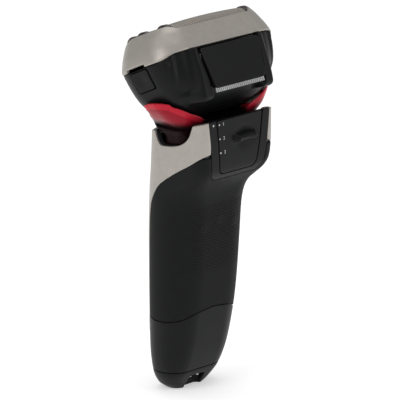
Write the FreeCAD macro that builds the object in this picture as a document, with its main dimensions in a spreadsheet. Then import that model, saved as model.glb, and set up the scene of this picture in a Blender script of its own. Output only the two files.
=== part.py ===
import FreeCAD, Part
import math
import os
import re
import Sketcher
from FreeCAD import Placement, Rotation, Vector

# Three-foil electric shaver.  Millimetres, +Z up along the handle, +Y towards the
# switch panel and the long-hair trimmer, the origin on the flat of the foot.
# Head pieces are drawn in the head's own frame and tilted into place at the end.

SIZES = {
    "handle_length": 124,
    "handle_width": 43,
    "handle_depth": 40.6,
    "skin": 1.0,
    "wall": 1.8,
    "gap": 0.35,
    "fit": 0.05,
    "head_length": 68,
    "head_tilt": 25,
    "head_y": 12,
    "head_rise": 10,
    "hull_wall": 1.6,
    "head_clearance": 1.2,
    "swing_rise": 8,
    "swing_pin": 1.5,
    "head_pin": 1.3,
    "foil_radius": 4.4,
    "foil_space": 0.6,
    "frame_room": 4.7,
    "foil_sheet": 0.25,
    "foil_crest": 26.4,
    "foil_bow": 166.4,
    "foil_skirt": 5.0,
    "foil_float": 1.2,
    "blade_gap": 0.35,
    "blade_count": 27,
    "blade_sheet": 0.5,
    "stroke": 1.0,
    "post_radius": 1.2,
    "frame_height": 10.6,
    "frame_wall": 1.2,
    "trimmer_half": 17,
    "trimmer_height": 16.2,
    "trimmer_pin": 0.75,
    "switch_half": 13.4,
    "switch_height": 23.4,
    "switch_travel": 13,
    "battery_radius": 7,
    "battery_length": 43,
    "board_sheet": 1.2,
    "chassis_sheet": 1.6,
    "button_radius": 5.5,
    "inlet_half": 4.6,
    "inlet_depth": 8,
    "inlet_pin": 0.8,
    "inlet_pitch": 4.4,
}
FORMULAS = {
    "tall": "=handle_length / 124",
    "wide": "=handle_width / 43",
    "deep": "=handle_depth / 40.6",
    "long": "=head_length / 68",
    "foil_pitch": "=2 * foil_radius + foil_space",
    "head_depth": "=2 * (foil_pitch + foil_radius + frame_room)",
    "thick": "=head_depth / 37",
    "head_z": "=handle_length + head_rise",
    "swing_z": "=handle_length - swing_rise",
    "cavity_inset": "=skin + wall",
    "foil_centre": "=foil_crest - foil_radius",
    "blade_radius": "=foil_radius - foil_sheet - blade_gap",
}

doc = FreeCAD.newDocument("shaver")
sheet = doc.addObject("Spreadsheet::Sheet", "sizes")
for row, (name, value) in enumerate({**SIZES, **FORMULAS}.items(), 1):
    sheet.set(f"A{row}", name)
    sheet.set(f"B{row}", str(value))
    sheet.setAlias(f"B{row}", name)
doc.recompute()

WORD = re.compile(r"[a-z][a-z_]*")
NAMES = set(SIZES) | set(FORMULAS)
nodes = []


def named(text):
    """An expression in which each size's name points at its cell."""
    return WORD.sub(lambda m: f"sizes.{m.group()}" if m.group() in NAMES else m.group(), str(text))


def bind(thing, **settings):
    for key, text in settings.items():
        thing.setExpression(key.replace("__", "."), named(text))
    return thing


# ---------------------------------------------------------------- drawing helpers

def new_sketch(body, role, level):
    sketch = body.newObject("Sketcher::SketchObject", body.Name + "_sketch")
    plane = next(item for item in body.Origin.OriginFeatures if item.Role == role)
    sketch.AttachmentSupport = (plane, "")
    sketch.MapMode = "FlatFace"
    sketch.setExpression("AttachmentOffset.Base.z", named(level))
    return sketch


def limit(sketch, text, kind, *where):
    """One bound dimension; the last of where is its nominal value."""
    index = sketch.addConstraint(Sketcher.Constraint(kind, *where))
    sketch.setExpression(f"Constraints[{index}]", named(text))


def pin_point(sketch, line, across, up, x=1.0, y=1.0):
    """Fix the start of one edge at bound coordinates."""
    limit(sketch, across, "DistanceX", -1, 1, line, 1, x)
    limit(sketch, up, "DistanceY", -1, 1, line, 1, y)


def outline(sketch, points):
    """A closed outline of straight edges through bound points."""
    count = len(points)
    ring = [Vector(math.cos(2 * math.pi * k / count), math.sin(2 * math.pi * k / count), 0)
            for k in range(count)]
    sketch.addGeometry([Part.LineSegment(ring[k], ring[(k + 1) % count]) for k in range(count)], False)
    for k in range(count):
        sketch.addConstraint(Sketcher.Constraint("Coincident", k, 2, (k + 1) % count, 1))
    for k, (across, up) in enumerate(points):
        pin_point(sketch, k, across, up)


def prism(name, role, points, low, high, rounds=None):
    """An outline padded between two levels; rounds gives {radius: [corner numbers]}."""
    body = doc.addObject("PartDesign::Body", name)
    flip = role == "XZ_Plane"
    sketch = new_sketch(body, role, f"-({high})" if flip else low)
    outline(sketch, points)
    pad = body.newObject("PartDesign::Pad", name + "_pad")
    pad.Profile = sketch
    pad.setExpression("Length", named(f"({high}) - ({low})"))
    for item in (sketch, pad):
        item.recompute()
    for radius, corners in (rounds or {}).items():
        normal = {"XY_Plane": Vector(0, 0, 1), "XZ_Plane": Vector(0, 1, 0), "YZ_Plane": Vector(1, 0, 0)}[role]
        spots = [sketch.Placement.multVec(sketch.getPoint(k, 1)) for k in corners]
        base = body.Tip
        picked = []
        for number, edge in enumerate(base.Shape.Edges, 1):
            ends = [vertex.Point for vertex in edge.Vertexes]
            if len(ends) != 2 or (ends[1] - ends[0]).cross(normal).Length > 1e-6:
                continue
            if any((spot - ends[0]).cross(normal).Length < 1e-4 for spot in spots):
                picked.append(f"Edge{number}")
        fillet = body.newObject("PartDesign::Fillet", name + "_round")
        fillet.Base = (base, picked)
        fillet.setExpression("Radius", named(radius))
        fillet.recompute()
    return body


def rounded_section(body, level, half, front, rear, r_front, r_rear, guess):
    """A section with two front and two rear corner arcs; guess holds its nominal numbers."""
    sketch = new_sketch(body, "XY_Plane", level)
    g_half, g_front, g_rear, g_rf, g_rr = guess
    spots = [
        (-g_half + g_rf, g_front, f"-({half}) + {r_front}", front),
        (g_half - g_rf, g_front, f"{half} - ({r_front})", front),
        (g_half, g_front + g_rf, half, f"{front} + {r_front}"),
        (g_half, g_rear - g_rr, half, f"{rear} - ({r_rear})"),
        (g_half - g_rr, g_rear, f"{half} - ({r_rear})", rear),
        (-g_half + g_rr, g_rear, f"-({half}) + {r_rear}", rear),
        (-g_half, g_rear - g_rr, f"-({half})", f"{rear} - ({r_rear})"),
        (-g_half, g_front + g_rf, f"-({half})", f"{front} + {r_front}"),
    ]
    centres = {1: (g_half - g_rf, g_front + g_rf, g_rf, -0.5), 3: (g_half - g_rr, g_rear - g_rr, g_rr, 0.0),
               5: (-g_half + g_rr, g_rear - g_rr, g_rr, 0.5), 7: (-g_half + g_rf, g_front + g_rf, g_rf, 1.0)}
    edges = []
    for k in range(8):
        here, there = spots[k], spots[(k + 1) % 8]
        if k in centres:
            x, y, radius, turn = centres[k]
            circle = Part.Circle(Vector(x, y, 0), Vector(0, 0, 1), radius)
            edges.append(Part.ArcOfCircle(circle, turn * math.pi, (turn + 0.5) * math.pi))
        else:
            edges.append(Part.LineSegment(Vector(here[0], here[1], 0), Vector(there[0], there[1], 0)))
    sketch.addGeometry(edges, False)
    for k in range(8):
        sketch.addConstraint(Sketcher.Constraint("Coincident", k, 2, (k + 1) % 8, 1))
    for k, spot in enumerate(spots):
        pin_point(sketch, k, spot[2], spot[3], spot[0], spot[1])
    for k, text in ((1, r_front), (3, r_rear), (5, r_rear), (7, r_front)):
        limit(sketch, text, "Radius", k, centres[k][2])
    return sketch


def loft(name, rows, scales, inset="0"):
    """A skin through rounded sections, each row (level, half, front, rear, r_front, r_rear)."""
    across, along = scales
    body = doc.addObject("PartDesign::Body", name)
    sections = []
    for level, half, front, rear, r_front, r_rear in rows:
        sections.append(rounded_section(
            body, level,
            f"({half} * {across} - ({inset}))", f"({front} * {along} + ({inset}))",
            f"({rear} * {along} - ({inset}))", f"({r_front} * {along} - ({inset}))",
            f"({r_rear} * {along} - ({inset}))", (half, front, rear, r_front, r_rear)))
    skin = body.newObject("PartDesign::AdditiveLoft", name + "_loft")
    skin.Profile = sections[0]
    skin.Sections = sections[1:]
    skin.Ruled = True
    return body


def box(name, x_low, x_high, y_low, y_high, z_low, z_high):
    block = doc.addObject("Part::Box", name)
    return bind(block, Length=f"({x_high}) - ({x_low})", Width=f"({y_high}) - ({y_low})",
                Height=f"({z_high}) - ({z_low})", Placement__Base__x=x_low,
                Placement__Base__y=y_low, Placement__Base__z=z_low)


def rod(name, axis, first, second, radius, low, high):
    """A cylinder along one axis; first and second are its centre on the other two."""
    bar = doc.addObject("Part::Cylinder", name)
    turns = {"x": Rotation(Vector(0, 1, 0), 90), "y": Rotation(Vector(1, 0, 0), -90), "z": Rotation()}
    bar.Placement = Placement(Vector(), turns[axis])
    spot = {"x": (low, first, second), "y": (first, low, second), "z": (first, second, low)}[axis]
    return bind(bar, Radius=radius, Height=f"({high}) - ({low})", Placement__Base__x=spot[0],
                Placement__Base__y=spot[1], Placement__Base__z=spot[2])


def mirrored_pair(maker, name, *sizes):
    """The same piece on the +X and the -X side: x sizes come first, low then high."""
    low, high, *rest = sizes
    return [maker(name + "_left", low, high, *rest), maker(name + "_right", f"-({high})", f"-({low})", *rest)]


def join(name, *shapes):
    whole = doc.addObject("Part::MultiFuse", name)
    whole.Shapes = list(shapes)
    return whole


def keep(name, *shapes):
    common = doc.addObject("Part::MultiCommon", name)
    common.Shapes = list(shapes)
    return common


def cut(name, base, *tools):
    """The base with each tool taken out of it in turn."""
    for tool in tools:
        result = doc.addObject("Part::Cut", name)
        result.Base = base
        result.Tool = tool
        base = result
    return base


def coil(name, axis, first, second, radius, wire, low, high, turns):
    """A helical spring along one axis."""
    body = doc.addObject("PartDesign::Body", name)
    sketch = new_sketch(body, "XZ_Plane", 0)
    sketch.addGeometry(Part.Circle(Vector(1, 0, 0), Vector(0, 0, 1), 0.2), False)
    limit(sketch, radius, "DistanceX", -1, 1, 0, 3, 1.0)
    limit(sketch, wire, "Radius", 0, 0.2)
    sketch.addConstraint(Sketcher.Constraint("PointOnObject", 0, 3, -1))
    helix = body.newObject("PartDesign::AdditiveHelix", name + "_helix")
    helix.Profile = sketch
    helix.ReferenceAxis = (sketch, ["V_Axis"])
    helix.Mode = "height-turns-angle"
    helix.Turns = turns
    helix.setExpression("Height", named(f"({high}) - ({low}) - 2 * ({wire})"))
    turns_of = {"x": Rotation(Vector(0, 1, 0), 90), "y": Rotation(Vector(1, 0, 0), -90), "z": Rotation()}
    body.Placement = Placement(Vector(), turns_of[axis])
    start = f"{low} + {wire}"
    spot = {"x": (start, first, second), "y": (first, start, second), "z": (first, second, start)}[axis]
    return bind(body, Placement__Base__x=spot[0], Placement__Base__y=spot[1], Placement__Base__z=spot[2])


def node(label, *shapes, head=False):
    """One exported piece; head pieces are tilted from the head's frame into the whole."""
    piece = doc.addObject("Part::Compound", "node_" + label)
    piece.Label = label
    piece.Links = list(shapes)
    if head:
        piece.Placement = Placement(Vector(), Rotation(Vector(1, 0, 0), 25))
        bind(piece, Placement__Rotation__Angle="head_tilt", Placement__Base__y="head_y",
             Placement__Base__z="head_z")
    nodes.append(piece)
    return piece


# ---------------------------------------------------------------- handle surfaces

HANDLE_ROWS = [
    (0, 8.8, -5.2, 3.4, 4.0, 4.0),
    (2.6, 12.3, -7.4, 5.0, 5.9, 5.9),
    (8, 15.6, -8.4, 8.4, 8.1, 8.1),
    (20, 18.2, -9.0, 12.9, 10.6, 10.6),
    (44, 20.2, -9.0, 17.3, 13.0, 13.0),
    (66, 20.9, -8.9, 19.1, 13.8, 13.8),
    (80, 21.2, -8.5, 20.0, 14.0, 14.0),
    (87, 21.3, -8.1, 21.1, 14.0, 13.2),
    (91.3, 21.4, -7.8, 22.8, 14.0, 11.5),
    (94.7, 21.4, -7.5, 25.7, 14.0, 9.0),
    (98.2, 21.4, -7.2, 29.0, 14.0, 7.0),
    (102, 21.5, -6.9, 30.7, 14.0, 5.6),
    (107, 21.5, -6.6, 31.3, 14.0, 5.0),
    (114, 21.5, -6.3, 31.6, 14.0, 5.0),
    (127, 21.5, -5.9, 31.6, 14.0, 5.0),
]


def handle_loft(name, inset="0", start=0):
    rows = [(f"{row[0]} * tall",) + row[1:] for row in HANDLE_ROWS[start:]]
    return loft(name, rows, ("wide", "deep"), inset)


handle_outer = handle_loft("handle_outer")
handle_core = handle_loft("handle_core", "skin", 2)
handle_cavity = handle_loft("handle_cavity", "cavity_inset", 2)
seal_core = handle_loft("seal_core", "cavity_inset + 1.1", 2)

# The rim climbs towards the switch side; everything above it is cut away.
above_rim = prism("above_rim", "YZ_Plane",
                  [("-20", "115.06 * tall - 20 * 0.273"), ("50", "115.06 * tall + 50 * 0.273"),
                   ("50", "150 * tall"), ("-20", "150 * tall")],
                  "-40", "40")
# A saddle in each side wall lets the yoke's arms out.
saddle = prism("saddle", "YZ_Plane",
               [("1.2 * deep", "118 * tall"), ("3.2 * deep", "114.2 * tall"), ("7.2 * deep", "109.8 * tall"),
                ("17.4 * deep", "111.7 * tall"), ("23.0 * deep", "115.4 * tall"),
                ("25.9 * deep", "122.6 * tall"), ("25.9 * deep", "140 * tall"), ("1.2 * deep", "140 * tall")],
               "-40", "40", {"4.5": [2], "6": [3, 4]})
foot_cut = box("foot_cut", -40, 40, -40, 60, -10, "9 * tall")

skin_shell = cut("skin_shell", handle_outer, handle_core, above_rim, saddle, foot_cut)
wall_shell = cut("wall_shell", handle_core, handle_cavity, above_rim, saddle, foot_cut)

# The metal-coloured side panel: wide at the shoulder, a thin strip lower down.
SIDE_EDGE = [(45, 113.8), (31.6, 109.8), (24.2, 104.8), (17, 100.6), (9.6, 95.8), (5.6, 92.6), (2.7, 88.2),
             (1.0, 83.2), (0.4, 76.6), (-0.6, 52), (-2.2, 30), (-3.6, 20), (-4.6, 30), (-5.2, 60), (-5.0, 90),
             (-3.6, 118), (-3.6, 140), (45, 140)]
side_tool = prism("side_tool", "YZ_Plane", [(f"{y} * deep", f"{z} * tall") for y, z in SIDE_EDGE], "-40", "40")

# The switch panel on the rear: an outline wider at the top, its slide window inside it.
panel_tool = prism("panel_tool", "XZ_Plane",
                   [("-18.3 * wide", "128 * tall"), ("-14.6 * wide", "97.6 * tall"),
                    ("14.6 * wide", "97.6 * tall"), ("18.3 * wide", "128 * tall")],
                   "20 * deep", "45 * deep", {"4": [1, 2]})
window_low = "handle_length - 0.6 - switch_height - 0.3"
window_tool = prism("window_tool", "XZ_Plane",
                    [("-switch_half - 0.8", "128 * tall"), ("-switch_half + 2.8", window_low),
                     ("switch_half - 2.8", window_low), ("switch_half + 0.8", "128 * tall")],
                    "29.7 * deep", "45 * deep", {"3": [1, 2]})
slot_tool = box("slot_tool", -2.8, 2.8, "20 * deep", "31 * deep", "handle_length - 21.6",
                "handle_length - 18 + switch_travel + 0.6")

fascia_tool = prism("fascia_tool", "XZ_Plane",
                    [("-12.6 * wide", "109 * tall"), ("-9.6 * wide", "14 * tall"),
                     ("9.6 * wide", "14 * tall"), ("12.6 * wide", "109 * tall")],
                    "-30", "-2", {"8": [0, 1, 2, 3]})
seam_tool = prism("seam_tool", "XZ_Plane",
                  [("-40", "0"), ("40", "0"), ("40", "28.6 * tall"), ("17 * wide", "33.5 * tall"),
                   ("9 * wide", "36.8 * tall"), ("0", "38 * tall"), ("-9 * wide", "36.8 * tall"),
                   ("-17 * wide", "33.5 * tall"), ("-40", "28.6 * tall")],
                  "-40", "60")

left_half = box("left_half", 0.5, 40, -40, 60, 0, "150 * tall")
right_half = box("right_half", -40, -0.5, -40, 60, 0, "150 * tall")
side_band = cut("side_band", keep("side_skin", skin_shell, side_tool), panel_tool)
node("side_panel_left", keep("side_left", side_band, left_half))
node("side_panel_right", keep("side_right", side_band, right_half))

dark_skin = cut("dark_skin", skin_shell, side_tool, panel_tool, fascia_tool)
node("grip_skin", cut("grip_upper", dark_skin, seam_tool))
node("lower_cover", keep("grip_lower", dark_skin, seam_tool))

button_z = "68 * tall"
button_hole = rod("button_hole", "y", 0, button_z, "button_radius + 1.4", -20, -2)
lens_hole = prism("lens_hole", "XZ_Plane",
                  [("-2.2", "26 * tall"), ("2.2", "26 * tall"), ("2.2", "40 * tall"), ("-2.2", "40 * tall")],
                  -20, -2, {"2": [0, 1, 2, 3]})
fascia_skin = keep("fascia_skin", skin_shell, fascia_tool)
node("front_fascia", cut("fascia", fascia_skin, button_hole, lens_hole))
node("charge_window", keep("lens", join("lens_depth", keep("lens_skin", skin_shell, lens_hole),
                                        keep("lens_wall", wall_shell, lens_hole))))

panel_skin = keep("panel_skin", skin_shell, panel_tool)
node("switch_frame", cut("panel_border", panel_skin, window_tool))

# ---------------------------------------------------------------- housing

boss_spots = [(sx, z) for sx in (-1, 1) for z in (22, 88)]
bosses = [rod(f"boss_{k}", "y", f"{sx * 10} * wide", f"{z} * tall", 2.2, "-5.9 * deep", "-4 * deep")
          for k, (sx, z) in enumerate(boss_spots)]
boss_bores = [rod(f"boss_bore_{k}", "y", f"{sx * 10} * wide", f"{z} * tall", 1.0, "-5.7 * deep", "2 * deep")
              for k, (sx, z) in enumerate(boss_spots)]
front_half = box("front_half", -40, 40, -40, "4 * deep", 0, "150 * tall")
rear_half = box("rear_half", -40, 40, "4 * deep", 60, 0, "150 * tall")
shaft_hole = rod("shaft_hole", "y", 0, button_z, "button_radius - 1 + gap", -20, -2)
ring_seat = rod("ring_seat", "y", 0, button_z, "button_radius + 1.4", -20, "-7.6 * deep")
front_shell = keep("front_shell", wall_shell, front_half)
node("housing_front", cut("front_body", join("front_raw", front_shell, *bosses), lens_hole, shaft_hole,
                          ring_seat, *boss_bores))
rear_shell = keep("rear_shell", wall_shell, rear_half)
node("housing_rear", cut("rear_body", rear_shell, window_tool, slot_tool))

# Foot: a plug that closes the shell, with the charging inlet at its rear edge.
inlet_mid = "4.4 * deep"
inlet_recess = prism("inlet_recess", "XY_Plane",
                     [("-inlet_half", "1.7 * deep"), ("inlet_half", "1.7 * deep"),
                      ("inlet_half", "7.1 * deep"), ("-inlet_half", "7.1 * deep")],
                     -5, "inlet_depth", {"1.6": [0, 1, 2, 3]})
foot_slab = box("foot_slab", -40, 40, -40, 60, -5, "9 * tall")
plug_slab = box("plug_slab", -40, 40, -40, 60, "9 * tall", "13.5 * tall")
seal_slab = box("seal_slab", -40, 40, -40, 60, "10.6 * tall", "11.9 * tall")
cap_seal = cut("seal_ring", keep("seal_disc", handle_cavity, seal_slab), seal_core)
# Each pin stands 3.4 mm into the recess; above it a thinner tail runs up into the handle.
pins = []
for k, sx in enumerate((-1, 1)):
    pin_x = f"{sx} * inlet_pitch / 2"
    stud = rod(f"pin_stud_{k}", "z", pin_x, inlet_mid, "inlet_pin", "inlet_depth - 3.4", "inlet_depth")
    tail = rod(f"pin_tail_{k}", "z", pin_x, inlet_mid, "inlet_pin - 0.2", "inlet_depth", "15 * tall")
    pins.append(join(f"inlet_pin_{k}", stud, tail))
foot = join("foot", keep("foot_outer", handle_outer, foot_slab), keep("foot_plug", handle_cavity, plug_slab))
node("bottom_cap", cut("foot_body", foot, inlet_recess, cap_seal, *pins))
node("cap_seal", cap_seal)
node("inlet_pins", *pins)

# ---------------------------------------------------------------- inside the handle

board_front = "-4 * deep"
board_back = "(-4 * deep + board_sheet)"
chassis_back = "(-4 * deep + board_sheet + chassis_sheet)"
battery_y = f"{chassis_back} + battery_radius + 0.1"
battery_low = "38 * tall"
battery_high = "38 * tall + battery_length"
board_half = "18.2 * wide - 2 * cavity_inset"
board = prism("board", "XZ_Plane",
              [(f"-({board_half})", "18 * tall"), (board_half, "18 * tall"), (board_half, "92 * tall"),
               (f"-({board_half})", "92 * tall")],
              board_front, board_back, {"2.5": [0, 1, 2, 3]})
node("circuit_board", cut("board_body", board, *boss_bores))
chassis_plate = prism("chassis_plate", "XZ_Plane",
                      [(f"-({board_half})", "15.5 * tall"), (board_half, "15.5 * tall"),
                       (f"{board_half} + 1", "99 * tall"), (f"-({board_half}) - 1", "99 * tall")],
                      board_back, chassis_back, {"3": [0, 1, 2, 3]})
end_walls = [box(f"end_wall_{k}", -7.5, 7.5, chassis_back, f"{chassis_back} + 11", low, high)
             for k, (low, high) in enumerate(((f"{battery_low} - 2", f"{battery_low} - 0.5"),
                                              (f"{battery_high} + 0.5", f"{battery_high} + 2")))]
cradle_ribs = [box(f"cradle_{k}", x0, x1, chassis_back, f"{chassis_back} + 3", f"{battery_low} - 0.5",
                   f"{battery_high} + 0.5")
               for k, (x0, x1) in enumerate((("-battery_radius - 0.8", "-battery_radius + 0.4"),
                                             ("battery_radius - 0.4", "battery_radius + 0.8")))]
battery = rod("battery_can", "z", 0, battery_y, "battery_radius", battery_low, battery_high)
node("chassis", cut("chassis_body", join("chassis_raw", chassis_plate, *end_walls, *cradle_ribs),
                    battery, *boss_bores))
node("battery", battery)
tabs = [box(f"tab_{k}", -3, 3, f"{chassis_back}", f"{battery_y} + 3", low, high)
        for k, (low, high) in enumerate(((f"{battery_low} - 0.5", battery_low),
                                         (battery_high, f"{battery_high} + 0.5")))]
node("battery_tabs", *tabs)
screws = []
for k, (sx, z) in enumerate(boss_spots):
    shank = rod(f"screw_shank_{k}", "y", f"{sx * 10} * wide", f"{z} * tall", 1.0, "-5.7 * deep",
                f"{chassis_back} + 0.2")
    cap = rod(f"screw_head_{k}", "y", f"{sx * 10} * wide", f"{z} * tall", 1.9, chassis_back,
              f"{chassis_back} + 1.3")
    screws.append(join(f"screw_{k}", shank, cap))
node("chassis_screws", *screws)
tact = join("tact", box("tact_base", -3, 3, "-5.2 * deep", board_front, f"{button_z} - 3", f"{button_z} + 3"),
            rod("tact_dome", "y", 0, button_z, 1.6, "-5.55 * deep", "-5 * deep"))
node("power_switch", tact)
leds = [box(f"led_{k}", -0.8, 0.8, "-5.0 * deep", board_front, f"{z} * tall - 0.6",
            f"{z} * tall + 0.6") for k, z in enumerate((29, 33, 37))]
chips = [box(f"chip_{k}", x0, x1, "-5.1 * deep", board_front, f"{z0} * tall", f"{z1} * tall")
         for k, (x0, x1, z0, z1) in enumerate(((3, 9, 44, 50), (-9, -4, 46, 51), (-8, -5, 78, 83),
                                               (4, 8, 79, 82)))]
node("board_parts", *leds, *chips)

# Power button on the front: a cap in a trim ring, its shaft over the tact switch.
button_face = "-9.9 * deep"
button_cap = join("button_cap",
                  rod("button_disc", "y", 0, button_z, "button_radius", button_face, "-8.4 * deep"),
                  rod("button_shaft", "y", 0, button_z, "button_radius - 1", "-8.5 * deep", "-6.4 * deep"))
node("power_button", button_cap)
ring_bore = rod("ring_bore", "y", 0, button_z, "button_radius + gap", -20, -2)
node("power_ring", cut("trim_ring", rod("ring_disc", "y", 0, button_z, "button_radius + 1.4", "-9.5 * deep",
                                        "-7.6 * deep"), ring_bore))

# ---------------------------------------------------------------- switch slide

slide_top = "handle_length - 0.6"
slide_low = "handle_length - 0.6 - switch_height"
slide_plate = prism("slide_plate", "XZ_Plane",
                    [("-switch_half + gap", slide_top), ("-switch_half + 3.1", slide_low),
                     ("switch_half - 3.1", slide_low), ("switch_half - gap", slide_top)],
                    "30.0 * deep", "31.6 * deep", {"3": [1, 2], "0.8": [0, 3]})
ridge = doc.addObject("Part::Ellipsoid", "ridge")
bind(ridge, Radius1="2.8", Radius2="6.2", Radius3="3.0", Placement__Base__y="31.4 * deep",
     Placement__Base__z="handle_length - 10")
ridge_front = box("ridge_front", -10, 10, "30.2 * deep", "40 * deep", "90 * tall", "130 * tall")
slide_stem = box("slide_stem", -2.4, 2.4, "27.6 * deep", "30.2 * deep", "handle_length - 21", "handle_length - 18")
node("switch_slide", join("slide_body", slide_plate, keep("thumb_ridge", ridge, ridge_front), slide_stem))
node("slide_retainer", box("retainer", -6, 6, "26.4 * deep", "27.6 * deep", "handle_length - 21.4",
                           "handle_length - 17.6"))
node("slide_detent", *[box(f"detent_{k}", x0, x1, "26.2 * deep", "28.0 * deep", "handle_length - 19",
                           "handle_length - 9")
                       for k, (x0, x1) in enumerate((("-6.9", "-6.4"), ("6.4", "6.9")))])

# ---------------------------------------------------------------- neck socket and yoke

floor_slab = box("floor_slab", -40, 40, -40, 60, "handle_length - 23.5", "handle_length - 21.7")
rim_slab = prism("rim_slab", "YZ_Plane",
                 [("-20", "115.06 * tall - 20 * 0.273 - 3.6"), ("50", "115.06 * tall + 50 * 0.273 - 3.6"),
                  ("50", "115.06 * tall + 50 * 0.273 - 1.8"), ("-20", "115.06 * tall - 20 * 0.273 - 1.8")],
                 "-40", "40")
stem_room = box("stem_room", -40, 40, "4.6 * deep", "22.4 * deep", "handle_length - 30", "150 * tall")
retainer_room = box("retainer_room", -7.6, 7.6, "25.4 * deep", "40 * deep", "handle_length - 30", "150 * tall")
socket_lugs = [box(f"socket_lug_{k}", "-8 * wide", "8 * wide", f"{y0} * deep", f"{y1} * deep",
                   "handle_length - 22", f"swing_z + {rise}")
               for k, (y0, y1, rise) in enumerate(((1.2, 4.6, 1.2), (22.4, 25.2, 3.2)))]
swing_pin = rod("swing_pin_rod", "y", 0, "swing_z - 2", "swing_pin", "1.2 * deep", "25.2 * deep")
lids = cut("lids", keep("rim_lids", handle_cavity, rim_slab), stem_room)
socket_floor = keep("socket_floor", handle_cavity, floor_slab)
node("neck_socket", cut("socket_body", join("socket_raw", socket_floor, lids, *socket_lugs), swing_pin,
                        retainer_room))
node("swing_pin", swing_pin)

YOKE_ROWS = [
    ("handle_length - 16", 13, 9.2, 16.6, 3.4, 3.4),
    ("handle_length - 11.1", 17.6, 8.0, 17.0, 4.2, 4.2),
    ("handle_length - 9.1", 20.3, 6.8, 18.0, 5.0, 5.0),
    ("handle_length - 7", 21.4, 5.4, 20.2, 6.4, 6.4),
    ("handle_length - 4", 24.0, 4.4, 21.8, 7.4, 7.4),
    ("handle_length - 0.5", 27.4, 2.0, 22.8, 8.6, 8.6),
    ("handle_length + 3.5", 30.6, -1.6, 22.4, 9.8, 9.8),
    ("handle_length + 9", 33.4, -5.2, 20.8, 11, 11),
]
yoke_outer = loft("yoke_outer", YOKE_ROWS, ("long", "deep"))
# The cup's rim runs low under the middle of the head and climbs each end to an arm.
RIM = [(-45, 140), (-29.4, 135), (-28.4, 128.4), (-26.4, 124.8), (-23.6, 122.6), (-18, 121.7), (0, 121.2),
       (18, 121.7), (23.6, 122.6), (26.4, 124.8), (28.4, 128.4), (29.4, 135), (45, 140), (45, 170), (-45, 170)]
rim_tool = prism("rim_tool", "XZ_Plane",
                 [(f"{x} * long", f"handle_length + {z - 124:.1f}") for x, z in RIM], "-40", "60")
ARM = [(-20, 120), (-6, 124.4), (-2, 127.4), (1.6, 130.2), (5.4, 132.0), (9.5, 132.6), (13, 131.8), (15.6, 129.8),
       (17.6, 127.2), (19.8, 124.8), (23, 123.2), (60, 120), (60, 180), (-20, 180)]
arm_tool = prism("arm_tool", "YZ_Plane",
                 [(f"{y} * deep", f"handle_length + {z - 124:.1f}") for y, z in ARM], "-45", "45")

HULL_ROWS = [
    (-13.0, 16.5, -5.6, 4.0, 4.2, 4.2),
    (-9.6, 23.0, -10.6, 9.6, 7.2, 7.2),
    (-5.0, 28.0, -14.4, 14.6, 10.2, 10.2),
    (2.0, 31.4, -17.0, 17.6, 12.2, 12.2),
    (12.0, 33.6, -18.2, 18.4, 13.0, 13.0),
]


def hull_loft(name, inset="0", top="12", floor="-13"):
    levels = [floor] + [str(row[0]) for row in HULL_ROWS[1:-1]] + [top]
    rows = [(level,) + row[1:] for level, row in zip(levels, HULL_ROWS)]
    return loft(name, rows, ("long", "thick"), inset)


def tilt(thing):
    """Set a head-frame shape where it sits in the whole."""
    moved = doc.addObject("Part::Compound", thing.Name + "_tilted")
    moved.Links = [thing]
    moved.Placement = Placement(Vector(), Rotation(Vector(1, 0, 0), 25))
    return bind(moved, Placement__Rotation__Angle="head_tilt", Placement__Base__y="head_y",
                Placement__Base__z="head_z")


hull_outer = hull_loft("hull_outer")
hull_inner = hull_loft("hull_inner", "hull_wall", "12.4", "-11.4")
hull_room = hull_loft("hull_room", "-head_clearance", "13", "-13 - head_clearance")

pivot_z = "handle_length + 4"
pivot_pins = mirrored_pair(lambda name, low, high: rod(name, "x", "head_y", pivot_z, "head_pin", low, high),
                           "pivot_pin", "24.4 * long", "32.4 * long")
pivot_bores = mirrored_pair(
    lambda name, low, high: rod(name, "x", "head_y", pivot_z, "head_pin + fit", low, high),
    "pivot_bore", "20 * long", "40 * long")
swing_bore = rod("swing_bore", "y", 0, "swing_z - 2", "swing_pin + fit", 0, "30 * deep")
yoke_body = cut("yoke_body", yoke_outer, tilt(hull_room), rim_tool, arm_tool, swing_bore, *pivot_bores)
# The lower funnel is the black neck; the crimson cradle takes over above it.
funnel_split = prism("funnel_split", "YZ_Plane",
                     [("-40", "handle_length - 40"), ("60", "handle_length - 40"),
                      ("60", "handle_length - 3.6"), ("-40", "handle_length - 9.2")],
                     "-45", "45")
node("yoke_cradle", cut("cradle_body", yoke_body, funnel_split))
node("yoke_neck", keep("neck_body", yoke_body, funnel_split))
node("centering_springs", *[coil(f"centering_{k}", "z", x, "13 * deep", 1.8, 0.35, "handle_length - 21.7",
                                 "handle_length - 17.2", 4) for k, x in enumerate((-8.5, 8.5))])
node("head_pivot_pins", *pivot_pins)

# ---------------------------------------------------------------- head base

trimmer_face = "20.4 * thick"
hinge_y = "18.2 * thick"
hinge_z = "9.4"
plate_top = "11.0"
plate_low = "11.0 - trimmer_height"
trimmer_room = prism("trimmer_room", "XZ_Plane",
                     [("-trimmer_half - 0.7", "12.6"), ("-trimmer_half + 2.0", f"{plate_low} - 6"),
                      ("trimmer_half - 2.0", f"{plate_low} - 6"), ("trimmer_half + 0.7", "12.6")],
                     "17.2 * thick", "40")
button_rooms = mirrored_pair(box, "button_room", "29 * long", "40 * long", "-6 * thick - gap",
                             "4 * thick + gap", "2.4 - gap", "10.8 + gap")
hinge_lugs = mirrored_pair(box, "hinge_lug", "trimmer_half - 2.6", "trimmer_half - 0.4", "16.6 * thick", hinge_y,
                           f"{hinge_z} - trimmer_pin - 0.2", f"{hinge_z} + trimmer_pin + 0.2")
hinge_eyes = mirrored_pair(lambda name, low, high: rod(name, "x", hinge_y, hinge_z, "trimmer_pin + 0.2", low, high),
                           "hinge_eye", "trimmer_half - 2.6", "trimmer_half - 0.4")
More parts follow.
